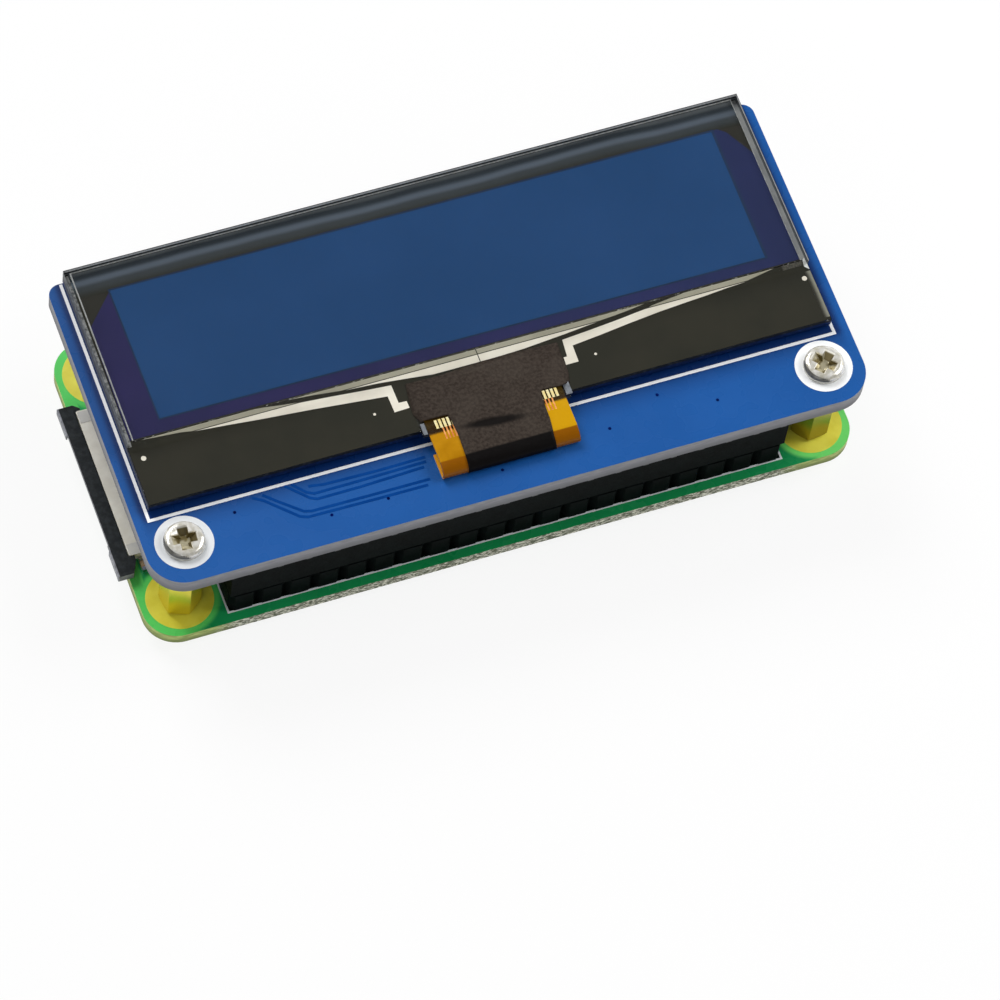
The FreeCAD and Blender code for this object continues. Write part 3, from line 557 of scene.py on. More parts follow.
def rings(name, places, inner, outer, low, high, finish):
    """Flat rings, such as the pads and printed rings round the screw holes"""
    work = bmesh.new()
    steps = ROUND_STEPS
    for x, y in places:
        loops = []
        for radius, level in ((inner, low), (outer, low), (outer, high), (inner, high)):
            loops.append(loop_at(work, x, y, radius, level, steps))
        for first, second in zip(loops, loops[1:] + loops[:1]):
            for here in range(steps):
                ahead = (here + 1) % steps
                work.faces.new((first[here], first[ahead], second[ahead], second[here]))
    return finish_piece(name, mesh_of(work, name), finish)


def turned(profile, steps):
    """A closed turned shape about Z from (radius, height) points that start and end on the axis"""
    work = bmesh.new()
    loops = []
    for radius, level in profile:
        if radius == 0:
            loops.append([work.verts.new((0, 0, level * MM))])
        else:
            loops.append(loop_at(work, 0, 0, radius, level, steps))
    for first, second in zip(loops, loops[1:]):
        for here in range(steps):
            ahead = (here + 1) % steps
            corners = [first[here % len(first)], first[ahead % len(first)]]
            corners += [second[ahead % len(second)], second[here % len(second)]]
            work.faces.new([v for i, v in enumerate(corners) if v not in corners[:i]])
    return work


def plain_mesh(holder):
    """The mesh that an object's modifiers make, after which the object goes"""
    bpy.context.view_layer.update()
    done = holder.evaluated_get(bpy.context.evaluated_depsgraph_get())
    plain = bpy.data.meshes.new_from_object(done)
    holder.modifiers.clear()
    bpy.data.objects.remove(holder)
    return plain


def with_modifiers(mesh, *steps):
    """Run modifiers on a mesh and give back the plain result"""
    holder = in_scene("bench", mesh)
    for kind, settings in steps:
        modifier = holder.modifiers.new(kind.lower(), kind)
        for name, value in settings.items():
            setattr(modifier, name, value)
    return plain_mesh(holder)


def softened(node, width, finish, body=STACK):
    """A copy of a CAD node with its edges eased, which then stands for the node"""
    work = bmesh.new()
    work.from_mesh(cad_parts[node].data)
    bmesh.ops.remove_doubles(work, verts=work.verts, dist=1e-6)
    bmesh.ops.dissolve_limit(work, angle_limit=math.radians(1), verts=work.verts, edges=work.edges)
    ease = {
        "width": width * MM, "segments": 2, "limit_method": "ANGLE", "angle_limit": math.radians(30),
        "use_clamp_overlap": True, "harden_normals": False,
    }
    mesh = with_modifiers(mesh_of(work, node), ("BEVEL", ease), ("TRIANGULATE", {}))
    piece = finish_piece(node + "_eased", mesh, finish, body)
    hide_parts(node)


def repeat_tree(name, shape, finish):
    """A node tree that sets one small shape at every point of a grid"""
    tree = bpy.data.node_groups.new(name, "GeometryNodeTree")
    labels = [("Columns", "Int"), ("Rows", "Int"), ("Pitch X", "Float"), ("Pitch Y", "Float")]
    labels += [("Middle", "Vector")]
    if shape == "post":
        labels += [("Sides", "Int"), ("Foot radius", "Float"), ("Tip radius", "Float"), ("Height", "Float")]
    else:
        labels += [("Size", "Vector")]
    for label, kind in labels:
        tree.interface.new_socket(label, in_out="INPUT", socket_type="NodeSocket" + kind)
    tree.interface.new_socket("Geometry", in_out="OUTPUT", socket_type="NodeSocketGeometry")
    given = put(tree, "NodeGroupInput").outputs
    widths = []
    for count, pitch in (("Columns", "Pitch X"), ("Rows", "Pitch Y")):
        steps = put(tree, "ShaderNodeMath", {0: given[count], 1: 1.0}, operation="SUBTRACT").outputs[0]
        width = put(tree, "ShaderNodeMath", {0: steps, 1: given[pitch]}, operation="MULTIPLY")
        widths.append(width.outputs[0])
    grid = put(
        tree, "GeometryNodeMeshGrid",
        {"Size X": widths[0], "Size Y": widths[1],
         "Vertices X": given["Columns"], "Vertices Y": given["Rows"]},
    )
    if shape == "post":
        item = put(
            tree, "GeometryNodeMeshCone",
            {"Vertices": given["Sides"], "Radius Bottom": given["Foot radius"],
             "Radius Top": given["Tip radius"], "Depth": given["Height"]},
        )
    else:
        item = put(tree, "GeometryNodeMeshCube", {"Size": given["Size"]})
    shapes = {"Points": grid.outputs["Mesh"], "Instance": item.outputs["Mesh"]}
    for kind, sockets in (
        ("InstanceOnPoints", {}), ("Transform", {"Translation": given["Middle"]}), ("RealizeInstances", {}),
        ("SetMaterial", {"Material": finish.mat}),
    ):
        shapes = {"Geometry": put(tree, "GeometryNode" + kind, {**shapes, **sockets}).outputs[0]}
    put(tree, "NodeGroupOutput", shapes)
    return tree


def repeated(name, tree, finish, slot, **sizes):
    """Run a repeat tree once, with its sizes in millimetres, and keep its plain mesh"""
    holder = in_scene(name + "_start", bpy.data.meshes.new(name + "_start"))
    modifier = holder.modifiers.new("repeat", "NODES")
    modifier.node_group = tree
    for item in tree.interface.items_tree:
        value = sizes.get(item.name.lower().replace(" ", "_"))
        if item.in_out == "OUTPUT" or value is None:
            continue
        if item.socket_type == "NodeSocketVector":
            value = [length * MM for length in value]
        elif item.socket_type == "NodeSocketFloat":
            value = value * MM
        modifier[item.identifier] = value
    return finish_piece(name, plain_mesh(holder), finish)


# Finishes of the CAD nodes
for node_finish, node_names in (
    (GREEN_LACQUER, "host_board"),
    (BLUE_LACQUER, "display_board"),
    (BACK_GLASS, "back_glass"),
    (FRONT_GLASS, "front_glass"),
    (POLARISER, "polariser"),
    (WHITE_TAPE, "panel_adhesive"),
    (CLEAR_FILM, "bond_film"),
    (AMBER, "flex_tail"),
    (SILICON, "driver_chip"),
    (TAPE, "cover_tape"),
    (BRASS, "hex_spacer_left hex_spacer_right"),
    (NICKEL, "upper_screw_left upper_screw_right lower_screw_left lower_screw_right"),
    (NICKEL, "card_cover clock_crystal power_socket data_socket video_socket"),
    (BLACK_PLASTIC, "pin_header_base socket_header card_frame power_tongue data_tongue video_tongue"),
    (GOLD, "header_pins camera_contacts"),
    (DULL_TIN, "socket_contacts"),
    (CREAM_PLASTIC, "camera_socket"),
    (LATCH_PLASTIC, "camera_latch"),
    (TIN, "camera_tab_front camera_tab_rear"),
    (CHIP_BLACK, "main_chip radio_chip power_chip regulator_chip"),
    (LENS, "status_light"),
    (COIL_GREY, "coil"),
    (TAN, "host_capacitors display_capacitors"),
):
    for node_name in node_names.split():
        node_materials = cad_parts[node_name].data.materials
        node_materials.clear()
        node_materials.append(node_finish.mat)


# Display board printing
def from_panel_middle(points):
    """Where points are that were measured from the line at PANEL_Y"""
    return [(x, y + PANEL_Y) for x, y in points]


BOARD_TOP = BOARD_HIGH.z
INK_RISE = 0.03
LINE_LEFT, LINE_RIGHT, LINE_FRONT = -31.2, 31.1, -20.2
line = ribbon([(LINE_LEFT, 3.9), (LINE_LEFT, LINE_FRONT), (LINE_RIGHT, LINE_FRONT), (LINE_RIGHT, 3.9)], 0.28)
plates("outline_print", [line], BOARD_TOP, BOARD_TOP + INK_RISE, WHITE_INK)
screw_places = [(-HOLE_X, FRONT_HOLE_Y), (HOLE_X, FRONT_HOLE_Y)]
rings("screw_rings", screw_places, 1.15, 2.53, BOARD_TOP, BOARD_TOP + INK_RISE, RING_INK)

VIAS = [(-24.05, -10.04), (-16.3, -12.7), (-11.21, -12.61), (-1.01, -12.9), (9.14, -11.81), (14.2, -9.92)]
VIAS.append((19.01, -11.92))
spots = [round_spot(x, y, 0.14, 12) for x, y in from_panel_middle(VIAS)]
plates("board_vias", spots, BOARD_TOP, BOARD_TOP + 0.018, DARK_HOLE)

TRACKS = [
    [(-22.2, -9.16), (-21.32, -9.73), (-18.9, -12.05), (-18.27, -12.29), (-11.86, -12.37), (-7.55, -12.39)],
    [(-21.3, -9.14), (-20.35, -10.03), (-18.42, -11.68), (-17.76, -11.84), (-12.77, -11.88), (-7.2, -11.89)],
    [(-19.31, -8.81), (-17.52, -10.61), (-16.98, -10.88), (-13.13, -10.86), (-7.29, -10.65)],
    [(-18.63, -8.9), (-17.66, -10.0), (-17.06, -10.31), (-13.65, -10.3), (-6.96, -10.2)],
    [(-17.31, -9.51), (-15.96, -9.72), (-10.96, -9.82), (-6.89, -9.76)],
]
lines = [ribbon(from_panel_middle(track), 0.25) for track in TRACKS]
plates("buried_tracks", lines, BOARD_TOP, BOARD_TOP + 0.016, BLUE_TRACK)


# Host board printing
HOST_TOP = HOST_HIGH.z
PAD_INNER, PAD_OUTER, PAD_RISE = 1.375, 2.95, 0.015
hole_places = [(x, y) for x in (-HOLE_X, HOLE_X) for y in (FRONT_HOLE_Y, REAR_HOLE_Y)]
rings(
    "hole_pads", hole_places, PAD_INNER, PAD_OUTER, HOST_TOP, HOST_TOP + PAD_RISE, YELLOW_PAD
)
rings("hole_pads_under", hole_places, PAD_INNER, PAD_OUTER, -PAD_RISE, 0.0, YELLOW_PAD)
header_line = ribbon([(-25.45, -20.3), (-25.45, -25.55), (25.45, -25.55), (25.45, -20.3)], 0.18)
plates("header_print", [header_line], HOST_TOP, HOST_TOP + 0.012, WHITE_INK)


# Display panel layers
LEDGE_TOP = BACK_HIGH.z


def on_ledge(name, outlines, rise, finish):
    """A layer on the back glass, rise millimetres thick"""
    return plates(name, outlines, LEDGE_TOP, LEDGE_TOP + rise, finish)


paint = [oblong(BACK_LOW.x + 0.04, BACK_LOW.y + 0.04, BACK_HIGH.x - 0.04, BACK_HIGH.y - 0.04)]
plates("ledge_layer", paint, LEDGE_TOP - 0.03, LEDGE_TOP + 0.004, LEDGE)
surround = from_panel_middle([
    (-30.54, -1.48), (30.72, -1.48), (30.61, 9.64), (29.0, 12.5), (28.3, 13.05), (27.7, 12.96),
    (-27.6, 12.96), (-30.35, 9.9),
])
on_ledge("panel_surround", [surround], 0.014, PANEL_VIOLET)
rim = from_panel_middle([(-27.6, -0.32), (27.92, -0.57), (27.97, 13.1), (-27.75, 13.12)])
on_ledge("active_rim", [rim], 0.026, PANEL_RIM)
active = from_panel_middle([(-27.46, -0.17), (27.67, -0.42), (27.72, 12.89), (-27.6, 12.94)])
on_ledge("active_area", [active], 0.038, PANEL_NAVY)

# The cream tracks run from the bare ledge in under the front glass, whose foot is at GLASS_FOOT
GLASS_FOOT = FRONT_LOW.y
BARE_END = GLASS_FOOT - 0.03
COVERED_END = GLASS_FOOT + 0.05
SHOWN_BACK = -13.08
CREAM_RISE = 0.012
LEFT_TRACK = [
    (-25.0, BARE_END), (-24.2, -13.79), (-21.95, -14.0), (-19.37, -14.27), (-15.01, -14.64), (-11.54, -15.0),
    (-8.27, -15.34), (-8.22, -16.99), (-6.85, -16.94), (-6.88, -16.25), (-7.59, -16.22), (-7.63, -14.41),
    (-10.35, -14.19), (-12.97, -13.94), (-15.59, BARE_END),
]
RIGHT_TRACK = [
    (7.92, -14.5), (7.76, -16.16), (7.44, -16.17), (7.39, -16.92), (8.54, -16.92), (8.59, -15.28),
    (11.22, -15.0), (14.12, -14.64), (17.01, -14.33), (19.87, -14.11), (21.3, -14.02), (23.41, -13.83),
    (25.2, BARE_END), (15.9, BARE_END), (14.88, -13.83), (13.43, -14.01), (10.57, -14.28),
]
WEDGE_LEFT = [
    (-11.5, BARE_END), (-10.73, -13.77), (-8.63, -13.9), (-6.27, -14.16), (-3.81, -14.45), (0.42, -14.45),
    (0.42, BARE_END),
]
WEDGE_RIGHT = [
    (0.5, BARE_END), (0.5, -14.45), (2.27, -14.43), (4.5, -14.35), (6.0, -14.22), (8.37, -14.02),
    (10.78, -13.77), (11.4, BARE_END),
]
on_ledge("ledge_tracks", [LEFT_TRACK, RIGHT_TRACK], CREAM_RISE, CREAM_INK)
on_ledge("cream_wedge", [WEDGE_LEFT, WEDGE_RIGHT], CREAM_RISE, CREAM_INK)
UNDER_GLASS = [[
    (-30.0, SHOWN_BACK), (-30.04, -13.15), (-28.41, -13.3), (-26.24, -13.47), (-25.2, COVERED_END),
    (-15.8, COVERED_END), (-17.1, -13.5), (-18.7, -13.27), (-20.4, SHOWN_BACK),
], [
    (-17.7, SHOWN_BACK), (-16.31, -13.2), (-14.13, -13.38), (-11.9, COVERED_END), (0.42, COVERED_END),
    (0.42, SHOWN_BACK),
], [
    (0.5, SHOWN_BACK), (0.5, COVERED_END), (11.7, COVERED_END), (13.04, -13.55), (14.57, -13.4),
    (15.66, -13.24), (16.6, SHOWN_BACK),
], [
    (20.4, SHOWN_BACK), (19.27, -13.24), (16.66, -13.54), (16.2, COVERED_END), (25.4, COVERED_END),
    (25.64, -13.6), (27.25, -13.32), (28.6, SHOWN_BACK),
]]
on_ledge("cream_under_glass", UNDER_GLASS, CREAM_RISE, CREAM_UNDER)
DOTS = [(-29.97, -14.94, 0.23), (30.21, -14.91, 0.23), (-9.91, -16.67, 0.12), (10.2, -16.65, 0.12)]
on_ledge("ledge_dots", [round_spot(x, y, r, 20) for x, y, r in DOTS], CREAM_RISE, CREAM_INK)
on_ledge("left_seal", [oblong(-30.95, -13.6, -30.56, 3.9)], 0.01, SEAL)
on_ledge("right_seal", [oblong(30.5, -13.1, 30.97, 3.9)], 0.026, PALE_SEAL_AND_GLINT)
on_ledge("rear_seal", [oblong(-30.55, 1.45, 30.6, 3.95)], 0.012, REAR_MARGIN_AND_REFLECTION)
speckled = [oblong(28.7, GLASS_FOOT + 0.06, 30.6, SHOWN_BACK)]
on_ledge("speckled_strip", speckled, 0.01, SPECKLE)
chip = [(30.6, -13.75), (30.72, -13.1), (30.95, -12.95), (30.97, -14.15), (30.8, -14.0)]
on_ledge("corner_chips", [chip], 0.03, GLASS_CHIP)
on_ledge("ledge_side_light", [oblong(30.45, -19.1, 30.97, -14.3)], 0.014, SIDE_GLEAM)
# Painted highlight: a pale strip along the film's left edge, in the pale seal's colour
plates(
    "film_side_light", [oblong(FILM_LOW.x, -13.62, FILM_LOW.x + 0.08, FILM_HIGH.y - 0.02)],
    FILM_HIGH.z - 0.02, FILM_HIGH.z, PALE_SEAL_AND_GLINT,
)


# Tail, contacts and tape
# The bend of the tail's middle, as its solid has it: a wide arc for 45 degrees and then a tight one
WIDE_R, WIDE_Y, WIDE_Z = 1.6, -22.5846, 11.05
TIGHT_R, TIGHT_Y, TIGHT_Z = 0.4577, -23.3923, 11.8577
DROOP = math.radians(45)


def tail_point(y_start, run, out):
    """Where a line from y_start forward along the tail is after a run, out millimetres off its middle"""
    flat = y_start - WIDE_Y
    if run <= flat:
        return y_start - run, WIDE_Z + WIDE_R + out
    turn = (run - flat) / WIDE_R
    if turn <= DROOP:
        return WIDE_Y - (WIDE_R + out) * math.sin(turn), WIDE_Z + (WIDE_R + out) * math.cos(turn)
    turn = DROOP + (run - flat - WIDE_R * DROOP) / TIGHT_R
    return TIGHT_Y - (TIGHT_R + out) * math.sin(turn), TIGHT_Z + (TIGHT_R + out) * math.cos(turn)


def between(points, place):
    """Read a line of (place, value) points"""
    if place <= points[0][0]:
        return points[0][1]
    for (a, low), (b, high) in zip(points, points[1:]):
        if place <= b:
            return low + (high - low) * (place - a) / (b - a)
    return points[-1][1]


def smooth(value, low, high):
    share = min(1.0, max(0.0, (value - low) / (high - low)))
    return share * share * (3 - 2 * share)


TAPE_BACK = [(-6.5, -14.68), (-3.38, -14.72), (0.36, -14.46), (4.9, -14.5), (7.4, -14.62)]
TAPE_FRONT = [(-6.9, -18.5), (-6.4, -18.66), (-4.2, -18.7), (4.3, -18.78), (6.3, -18.9), (7.3, -18.5)]
TAPE_LEFT = [(-18.7, -6.5), (-17.8, -6.82), (-16.2, -6.68), (-14.6, -6.46)]
TAPE_RIGHT = [(-18.7, 7.1), (-17.8, 7.34), (-16.2, 7.32), (-14.6, 7.4)]
NECK_LEFT = [(0.0, -4.1), (0.6, -3.95), (2.0, -3.86), (4.2, -3.94), (5.6, -3.96), (7.5, -4.12)]
NECK_RIGHT = [(0.0, 4.4), (0.4, 4.26), (1.6, 4.2), (3.0, 4.14), (4.4, 3.96), (7.5, 3.96)]
TAPE_OUT = 0.185
# Rows and columns of the tape's patch on the ledge and of its neck, which starts at NECK_Y
PATCH_ROWS, SIDE_COLUMNS, NECK_COLUMNS, NECK_ROWS = 28, 12, 44, 63
NECK_Y, NECK_LENGTH = -18.74, 7.25


def tape_height(x, y):
    """How far the tape stands off the tail's middle: it dips to the glass round its rim"""
    rim = min(smooth(between(TAPE_BACK, x) - y, 0.0, 0.9), smooth(between(TAPE_RIGHT, y) - x, 0.0, 0.8))
    rim = min(rim, smooth(x - between(TAPE_LEFT, y), 0.0, 0.6))
    swell = 0.02 * smooth(5.4 - abs(x), 0, 0.5) * smooth(-16.1 - y, 0, 0.4) * smooth(y + 18.1, 0, 0.4)
    ripple = 0.018 * noise.noise((x * 0.7, y * 0.9, 1.3)) + 0.008 * noise.noise((x * 2.2, y * 2.4, 5.1))
    return TAPE_OUT - 0.33 * (1 - rim) + swell + ripple


def make_tape():
    """The tape as one sheet: a wide patch, and a neck that follows the tail round its bend"""
    work = bmesh.new()
    columns = [("left", i / SIDE_COLUMNS) for i in range(SIDE_COLUMNS)]
    columns += [("neck", i / NECK_COLUMNS) for i in range(NECK_COLUMNS + 1)]
    columns += [("right", i / SIDE_COLUMNS) for i in range(1, SIDE_COLUMNS + 1)]
    rows = []
    for step in range(PATCH_ROWS + 1):
        share = step / PATCH_ROWS
        row = []
        for zone, across in columns:
            guess = -14.6 - 4.1 * share
            edges = {
                "left": (between(TAPE_LEFT, guess), NECK_LEFT[0][1]),
                "neck": (NECK_LEFT[0][1], NECK_RIGHT[0][1]),
                "right": (NECK_RIGHT[0][1], between(TAPE_RIGHT, guess)),
            }[zone]
            x = edges[0] + (edges[1] - edges[0]) * across
            back, front = between(TAPE_BACK, x), between(TAPE_FRONT, x)
            y = back + (front - back) * share
            row.append(work.verts.new((x * MM, y * MM, (WIDE_Z + WIDE_R + tape_height(x, y)) * MM)))
        rows.append(row)
    for first, second in zip(rows, rows[1:]):
        for here in range(len(columns) - 1):
            work.faces.new((first[here], second[here], second[here + 1], first[here + 1]))
    last = previous = rows[-1][SIDE_COLUMNS:SIDE_COLUMNS + NECK_COLUMNS + 1]
    for step in range(1, NECK_ROWS + 1):
        run = NECK_LENGTH * step / NECK_ROWS
        left, right = between(NECK_LEFT, run), between(NECK_RIGHT, run)
        row = []
        for index in range(NECK_COLUMNS + 1):
            x = left + (right - left) * (index / NECK_COLUMNS)
            settle = smooth(run, 0.0, 1.0)
            dent = 0.05 * math.exp(-(((run - 1.5) / 0.3) ** 2)) * smooth(3.5 - abs(x - 0.3), 0, 1.2)
            ridge = 0.03 * math.exp(-(((run - 4.9 - 0.05 * x) / 0.35) ** 2))
            lift = 0.06 * smooth(run, 5.6, 7.2) * (0.5 + 0.5 * math.sin(x * 0.9 + 0.6))
            ripple = 0.016 * noise.noise((x * 0.8, run * 0.8, 3.7))
            ripple += 0.006 * noise.noise((x * 2.4, run * 2.2, 0.4))
            out = TAPE_OUT + ripple - dent + ridge + lift
            y, z = tail_point(NECK_Y, run, out)
            if settle < 1:
                y_edge = last[index].co.y / MM
                y = y_edge - run + (y - (y_edge - run)) * settle
                z = last[index].co.z / MM * (1 - settle) + z * settle
            row.append(work.verts.new((x * MM, y * MM, z * MM)))
        for here in range(NECK_COLUMNS):
            work.faces.new((previous[here], row[here], row[here + 1], previous[here + 1]))
        previous = row
    bmesh.ops.recalc_face_normals(work, faces=work.faces)
    if sum(face.normal.z * face.calc_area() for face in work.faces) < 0:
        bmesh.ops.reverse_faces(work, faces=work.faces)
    for face in work.faces:
        face.smooth = True
    mesh = mesh_of(work, "tape_sheet", outward=False)
    mesh = with_modifiers(mesh, ("SOLIDIFY", {"thickness": 0.06 * MM, "offset": -1.0}), ("TRIANGULATE", {}))
    piece = finish_piece("tape_sheet", mesh, TAPE)
    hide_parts("cover_tape")


make_tape()
bars = repeat_tree("film_lines", "block", GOLD)
copper_bars = repeat_tree("copper_lines", "block", COPPER)
for side in (-1, 1):
    label = "left" if side < 0 else "right"
    repeated(
        "gold_contacts_" + label, bars, GOLD, "gold_pin", columns=5, rows=1, pitch_x=0.36, pitch_y=0.0,
        middle=(4.72 * side + 0.15, -19.3, FILM_TOP + 0.004), size=(0.23, 0.85, 0.016),
    )
    repeated(
        "copper_lines_" + label, copper_bars, COPPER, "gold_pin",
        columns=5 if side < 0 else 4, rows=1, pitch_x=0.31, pitch_y=0.0,
        middle=(4.4 * side + 0.15, -20.3, FILM_TOP + 0.003), size=(0.13, 1.15, 0.012),
    )
plates(
    "film_tabs", [oblong(-6.6, -19.9, -6.24, -18.8), oblong(6.4, -19.75, 6.95, -18.6)],
    FILM_TOP - 0.19, FILM_TOP - 0.14, GREY_FILM,
)


# Screws
def cross_cutter(span_wide, width, top, depth, turn):
    """Two tapered arms that cut a cross recess"""
    work = bmesh.new()
    for quarter in (0, 90):
        arm = []
        mouth = (top + 0.2, span_wide / 2 + 0.16, width / 2 + 0.07)
        for level, reach, half in (mouth, (top - depth, 0.5, width / 4)):
            arm += [(x * reach, y * half, level) for x, y in ((-1, -1), (1, -1), (1, 1), (-1, 1))]
        turned_by = Matrix.Rotation(math.radians(turn + quarter), 4, "Z")
        corners = [work.verts.new((turned_by @ Vector(point)) * MM) for point in arm]
        for face in ((3, 2, 1, 0), (4, 5, 6, 7), (0, 1, 5, 4), (1, 2, 6, 5), (2, 3, 7, 6), (3, 0, 4, 7)):
            work.faces.new([corners[i] for i in face])
    return mesh_of(work, "cross_cutter")


def pan_screw(name, node, x, y, turn):
    """A pan head with a rounded rim and a cross recess, on its shank"""
    low, high = span(node)
    top, seat = high.z, BOARD_TOP
    profile = [(0, low.z + 0.05), (0.9, low.z + 0.05), (0.95, low.z + 0.2), (0.95, seat)]
    profile += [(1.74, seat), (1.8, seat + 0.06)]
    for step in range(9):
        bend = math.radians(90 * step / 8)
        profile.append((1.3 + 0.5 * math.cos(bend), seat + 0.32 + (top - seat - 0.37) * math.sin(bend)))
    profile += [(0.7, top - 0.02), (0, top)]
    head = mesh_of(turned(profile, ROUND_STEPS), name)
    cutter = in_scene("cutter", cross_cutter(2.6, 1.0, top, 0.62, turn))
    cut = {"operation": "DIFFERENCE", "object": cutter, "solver": "EXACT", "use_self": True}
    ease = {"width": 0.03 * MM, "segments": 2, "limit_method": "ANGLE", "angle_limit": math.radians(40)}
    mesh = with_modifiers(head, ("BOOLEAN", cut), ("BEVEL", ease), ("TRIANGULATE", {}))
    bpy.data.objects.remove(cutter)
    mesh.transform(Matrix.Translation((x * MM, y * MM, 0)))
    piece = finish_piece(name, mesh, SCREW)
    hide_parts(node)


def screw_finish():
    """Bright plating with a duller recess, painted shade on the recess walls that face left, and a painted
    dark reflection at the left of each head's rim
    """
    made = Finish("screw_plating", 0.2, 0.45)
    wear = made.noise(0.5, detail=4)
    bright = made.mix(made.spread(wear, 0.35, 0.65), (222, 217, 200), (248, 246, 240))
    stain = made.spread(made.noise(0.6, detail=1, seed=0.02), 0.4, 0.62)
    way = made.put("ShaderNodeSeparateXYZ", {"Vector": made.place.outputs["Normal"]}).outputs
    left = made.sum("ADD", made.times(way["X"], -0.86), made.times(way["Y"], -0.5))
    recess = made.mix(stain, (222, 214, 184), (138, 124, 82))
    # Painted shade: the recess walls that face left are darker
    recess = made.mix(made.spread(left, -0.3, 0.5), recess, (96, 84, 48))
    across = made.sum("SUBTRACT", made.sum("ABSOLUTE", made.x), HOLE_X * MM)
    along = made.sum("SUBTRACT", made.y, FRONT_HOLE_Y * MM)
    far = made.far(across, along)
    inside = made.times(made.band(made.z, 12.05, 11.95), made.band(far, 1.4, 1.3))
    # Painted dark reflection: a crescent at the left of the rim
    crescent = made.times(made.spread(left, 0.42, 0.6), made.band(far, 1.5, 1.6))
    top = made.mix(made.times(crescent, 0.85), bright, (46, 46, 44))
    top = made.mix(made.band(made.z, 11.66, 11.58), top, (214, 212, 204))
    made.colour(made.mix(inside, top, recess))
    made.gloss(made.spread(wear, 0.3, 0.7, 0.1, 0.26))
    return made.relief(made.noise(0.7, detail=2), 0.012)


SCREW = screw_finish()
pan_screw("pan_screw_left", "upper_screw_left", -HOLE_X, FRONT_HOLE_Y, -5.0)
pan_screw("pan_screw_right", "upper_screw_right", HOLE_X, FRONT_HOLE_Y, 43.0)


# Header and soldering
softened("pin_header_base", 0.06, BLACK_PLASTIC)
softened("socket_header", 0.05, BLACK_PLASTIC)
softened("camera_latch", 0.08, LATCH_PLASTIC, LATCH)
softened("camera_socket", 0.05, CREAM_PLASTIC)
blocks = repeat_tree("tin_ends", "block", TIN)
plate_blocks = repeat_tree("end_plates", "block", TIN_PLATE)
CAP_ROWS = [("main", 8, 7.0, -3.9, 1.425), ("radio", 3, -9.5, -8.1, 1.425), ("power", 2, -20.0, -4.8, 1.425)]
CAP_ROWS += [("regulator", 2, -20.5, -6.7, 9.475), ("coil", 2, -14.5, -5.5, 9.475)]
for row, count, x, y, z in CAP_ROWS:
    repeated(
        "capacitor_ends_" + row, blocks, TIN, "tin", columns=count, rows=2, pitch_x=1.5, pitch_y=0.8,
        middle=(x, y, z), size=(0.52, 0.24, 0.47),
    )
repeated(
    "side_part_ends", blocks, TIN, "tin", columns=1, rows=2, pitch_x=1.0, pitch_y=0.92,
    middle=(-30.9, -19.1, 1.43), size=(0.63, 0.32, 0.48),
)
repeated(
    "camera_end_plates", plate_blocks, TIN_PLATE, "tin", columns=1, rows=2, pitch_x=1.0, pitch_y=13.55,
    middle=(-31.45, -11.08, 2.28), size=(1.1, 1.1, 0.2),
)
posts = repeat_tree("solder_posts", "post", TIN)
repeated(
    "tail_solder", posts, TIN, "tin", columns=PIN_COLUMNS, rows=2, pitch_x=PIN_PITCH, pitch_y=PIN_PITCH,
    middle=(0, -23.0, -0.55), sides=12, foot_radius=0.42, tip_radius=0.85, height=0.55,
)


# Floor, lamps and camera
FLOOR_Z = -1.5
floor_work = bmesh.new()
bmesh.ops.create_grid(floor_work, x_segments=4, y_segments=4, size=1.5)
bmesh.ops.translate(floor_work, verts=floor_work.verts, vec=(0, 0, FLOOR_Z * MM))
floor_mesh = mesh_of(floor_work, "studio_floor", outward=False)
floor = in_scene("studio_floor", floor_mesh)
PAPER = Finish("pale_paper", 0.9)
PAPER.colour(PAPER.mix(PAPER.noise(40.0), (243, 243, 243), (247, 247, 247)))
ray = PAPER.put("ShaderNodeLightPath").outputs
seen = PAPER.sum("MAXIMUM", ray["Is Glossy Ray"], ray["Is Transmission Ray"])
seen = PAPER.sum("MAXIMUM", ray["Is Camera Ray"], seen)
glow = PAPER.put("ShaderNodeEmission", {"Color": (1, 1, 1, 1), "Strength": 1.0})
PAPER.show(PAPER.blend(PAPER.times(seen, 0.88), PAPER.shader, glow))
floor_mesh.materials.append(PAPER.mat)

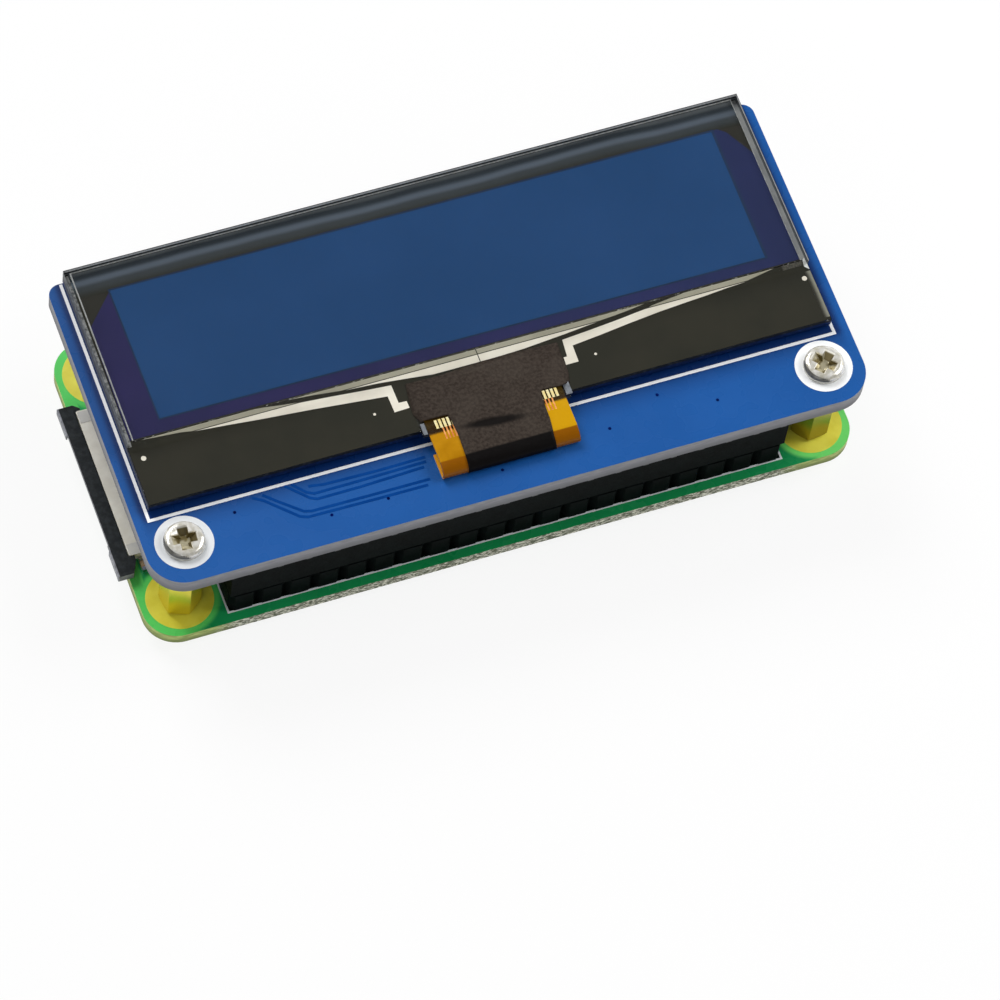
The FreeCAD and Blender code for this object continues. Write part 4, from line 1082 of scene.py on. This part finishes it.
world = bpy.data.worlds.new("studio")
bpy.context.scene.world = world
world.use_nodes = True
sky = world.node_tree
sky.nodes.clear()
facing = put(sky, "ShaderNodeTexCoord").outputs["Generated"]
axes = put(sky, "ShaderNodeSeparateXYZ", {"Vector": facing}).outputs
# The light is strongest low down and at the rear, and the camera itself sees plain white
upward = eased(sky, axes["Z"], 0.05, 0.8, 1.0, 0.22)
rearward = eased(sky, axes["Y"], -0.7, 0.5, 0.42, 0.8)
shade = put(sky, "ShaderNodeMath", {0: upward, 1: rearward}, operation="MULTIPLY").outputs[0]
path = put(sky, "ShaderNodeLightPath").outputs
level = put(sky, "ShaderNodeMath", {0: shade, 1: path["Is Camera Ray"]}, operation="MAXIMUM")
back = put(sky, "ShaderNodeBackground", {"Color": (1, 1, 1, 1), "Strength": level.outputs[0]})
put(sky, "ShaderNodeOutputWorld", {"Surface": back.outputs[0]})


# What the lamps are aimed at, in metres
LAMP_AIM = Vector((0, -0.0115, 0.01))


def add_lamp(name, azimuth, elevation, reach, size, power):
    """A square soft lamp aimed at the board"""
    light = bpy.data.lights.new(name, "AREA")
    light.shape = "SQUARE"
    light.size = size
    light.energy = power
    lamp = in_scene(name, light)
    turn, lift = math.radians(azimuth), math.radians(elevation)
    way = Vector((math.cos(turn) * math.cos(lift), math.sin(turn) * math.cos(lift), math.sin(lift)))
    lamp.location = LAMP_AIM + way * reach
    lamp.rotation_euler = (-way).to_track_quat("-Z", "Y").to_euler()


add_lamp("rear_lamp", 108, 46, 1.0, 0.5, 6.6)
add_lamp("left_lamp", 225, 30, 1.0, 0.6, 1.5)
add_lamp("right_lamp", 356, 44, 0.5, 0.3, 1.35)

eye = bpy.data.cameras.new("camera")
eye.lens = 218.04
eye.sensor_width = 36
eye.clip_start = 0.01
camera = in_scene("camera", eye)
camera.location = (-0.12186864, -0.24537639, 0.45929149)
camera.rotation_euler = [math.radians(angle) for angle in (28.684046, -4.879489, -19.890487)]
bpy.context.scene.camera = camera
bpy.context.scene.view_settings.view_transform = "Standard"
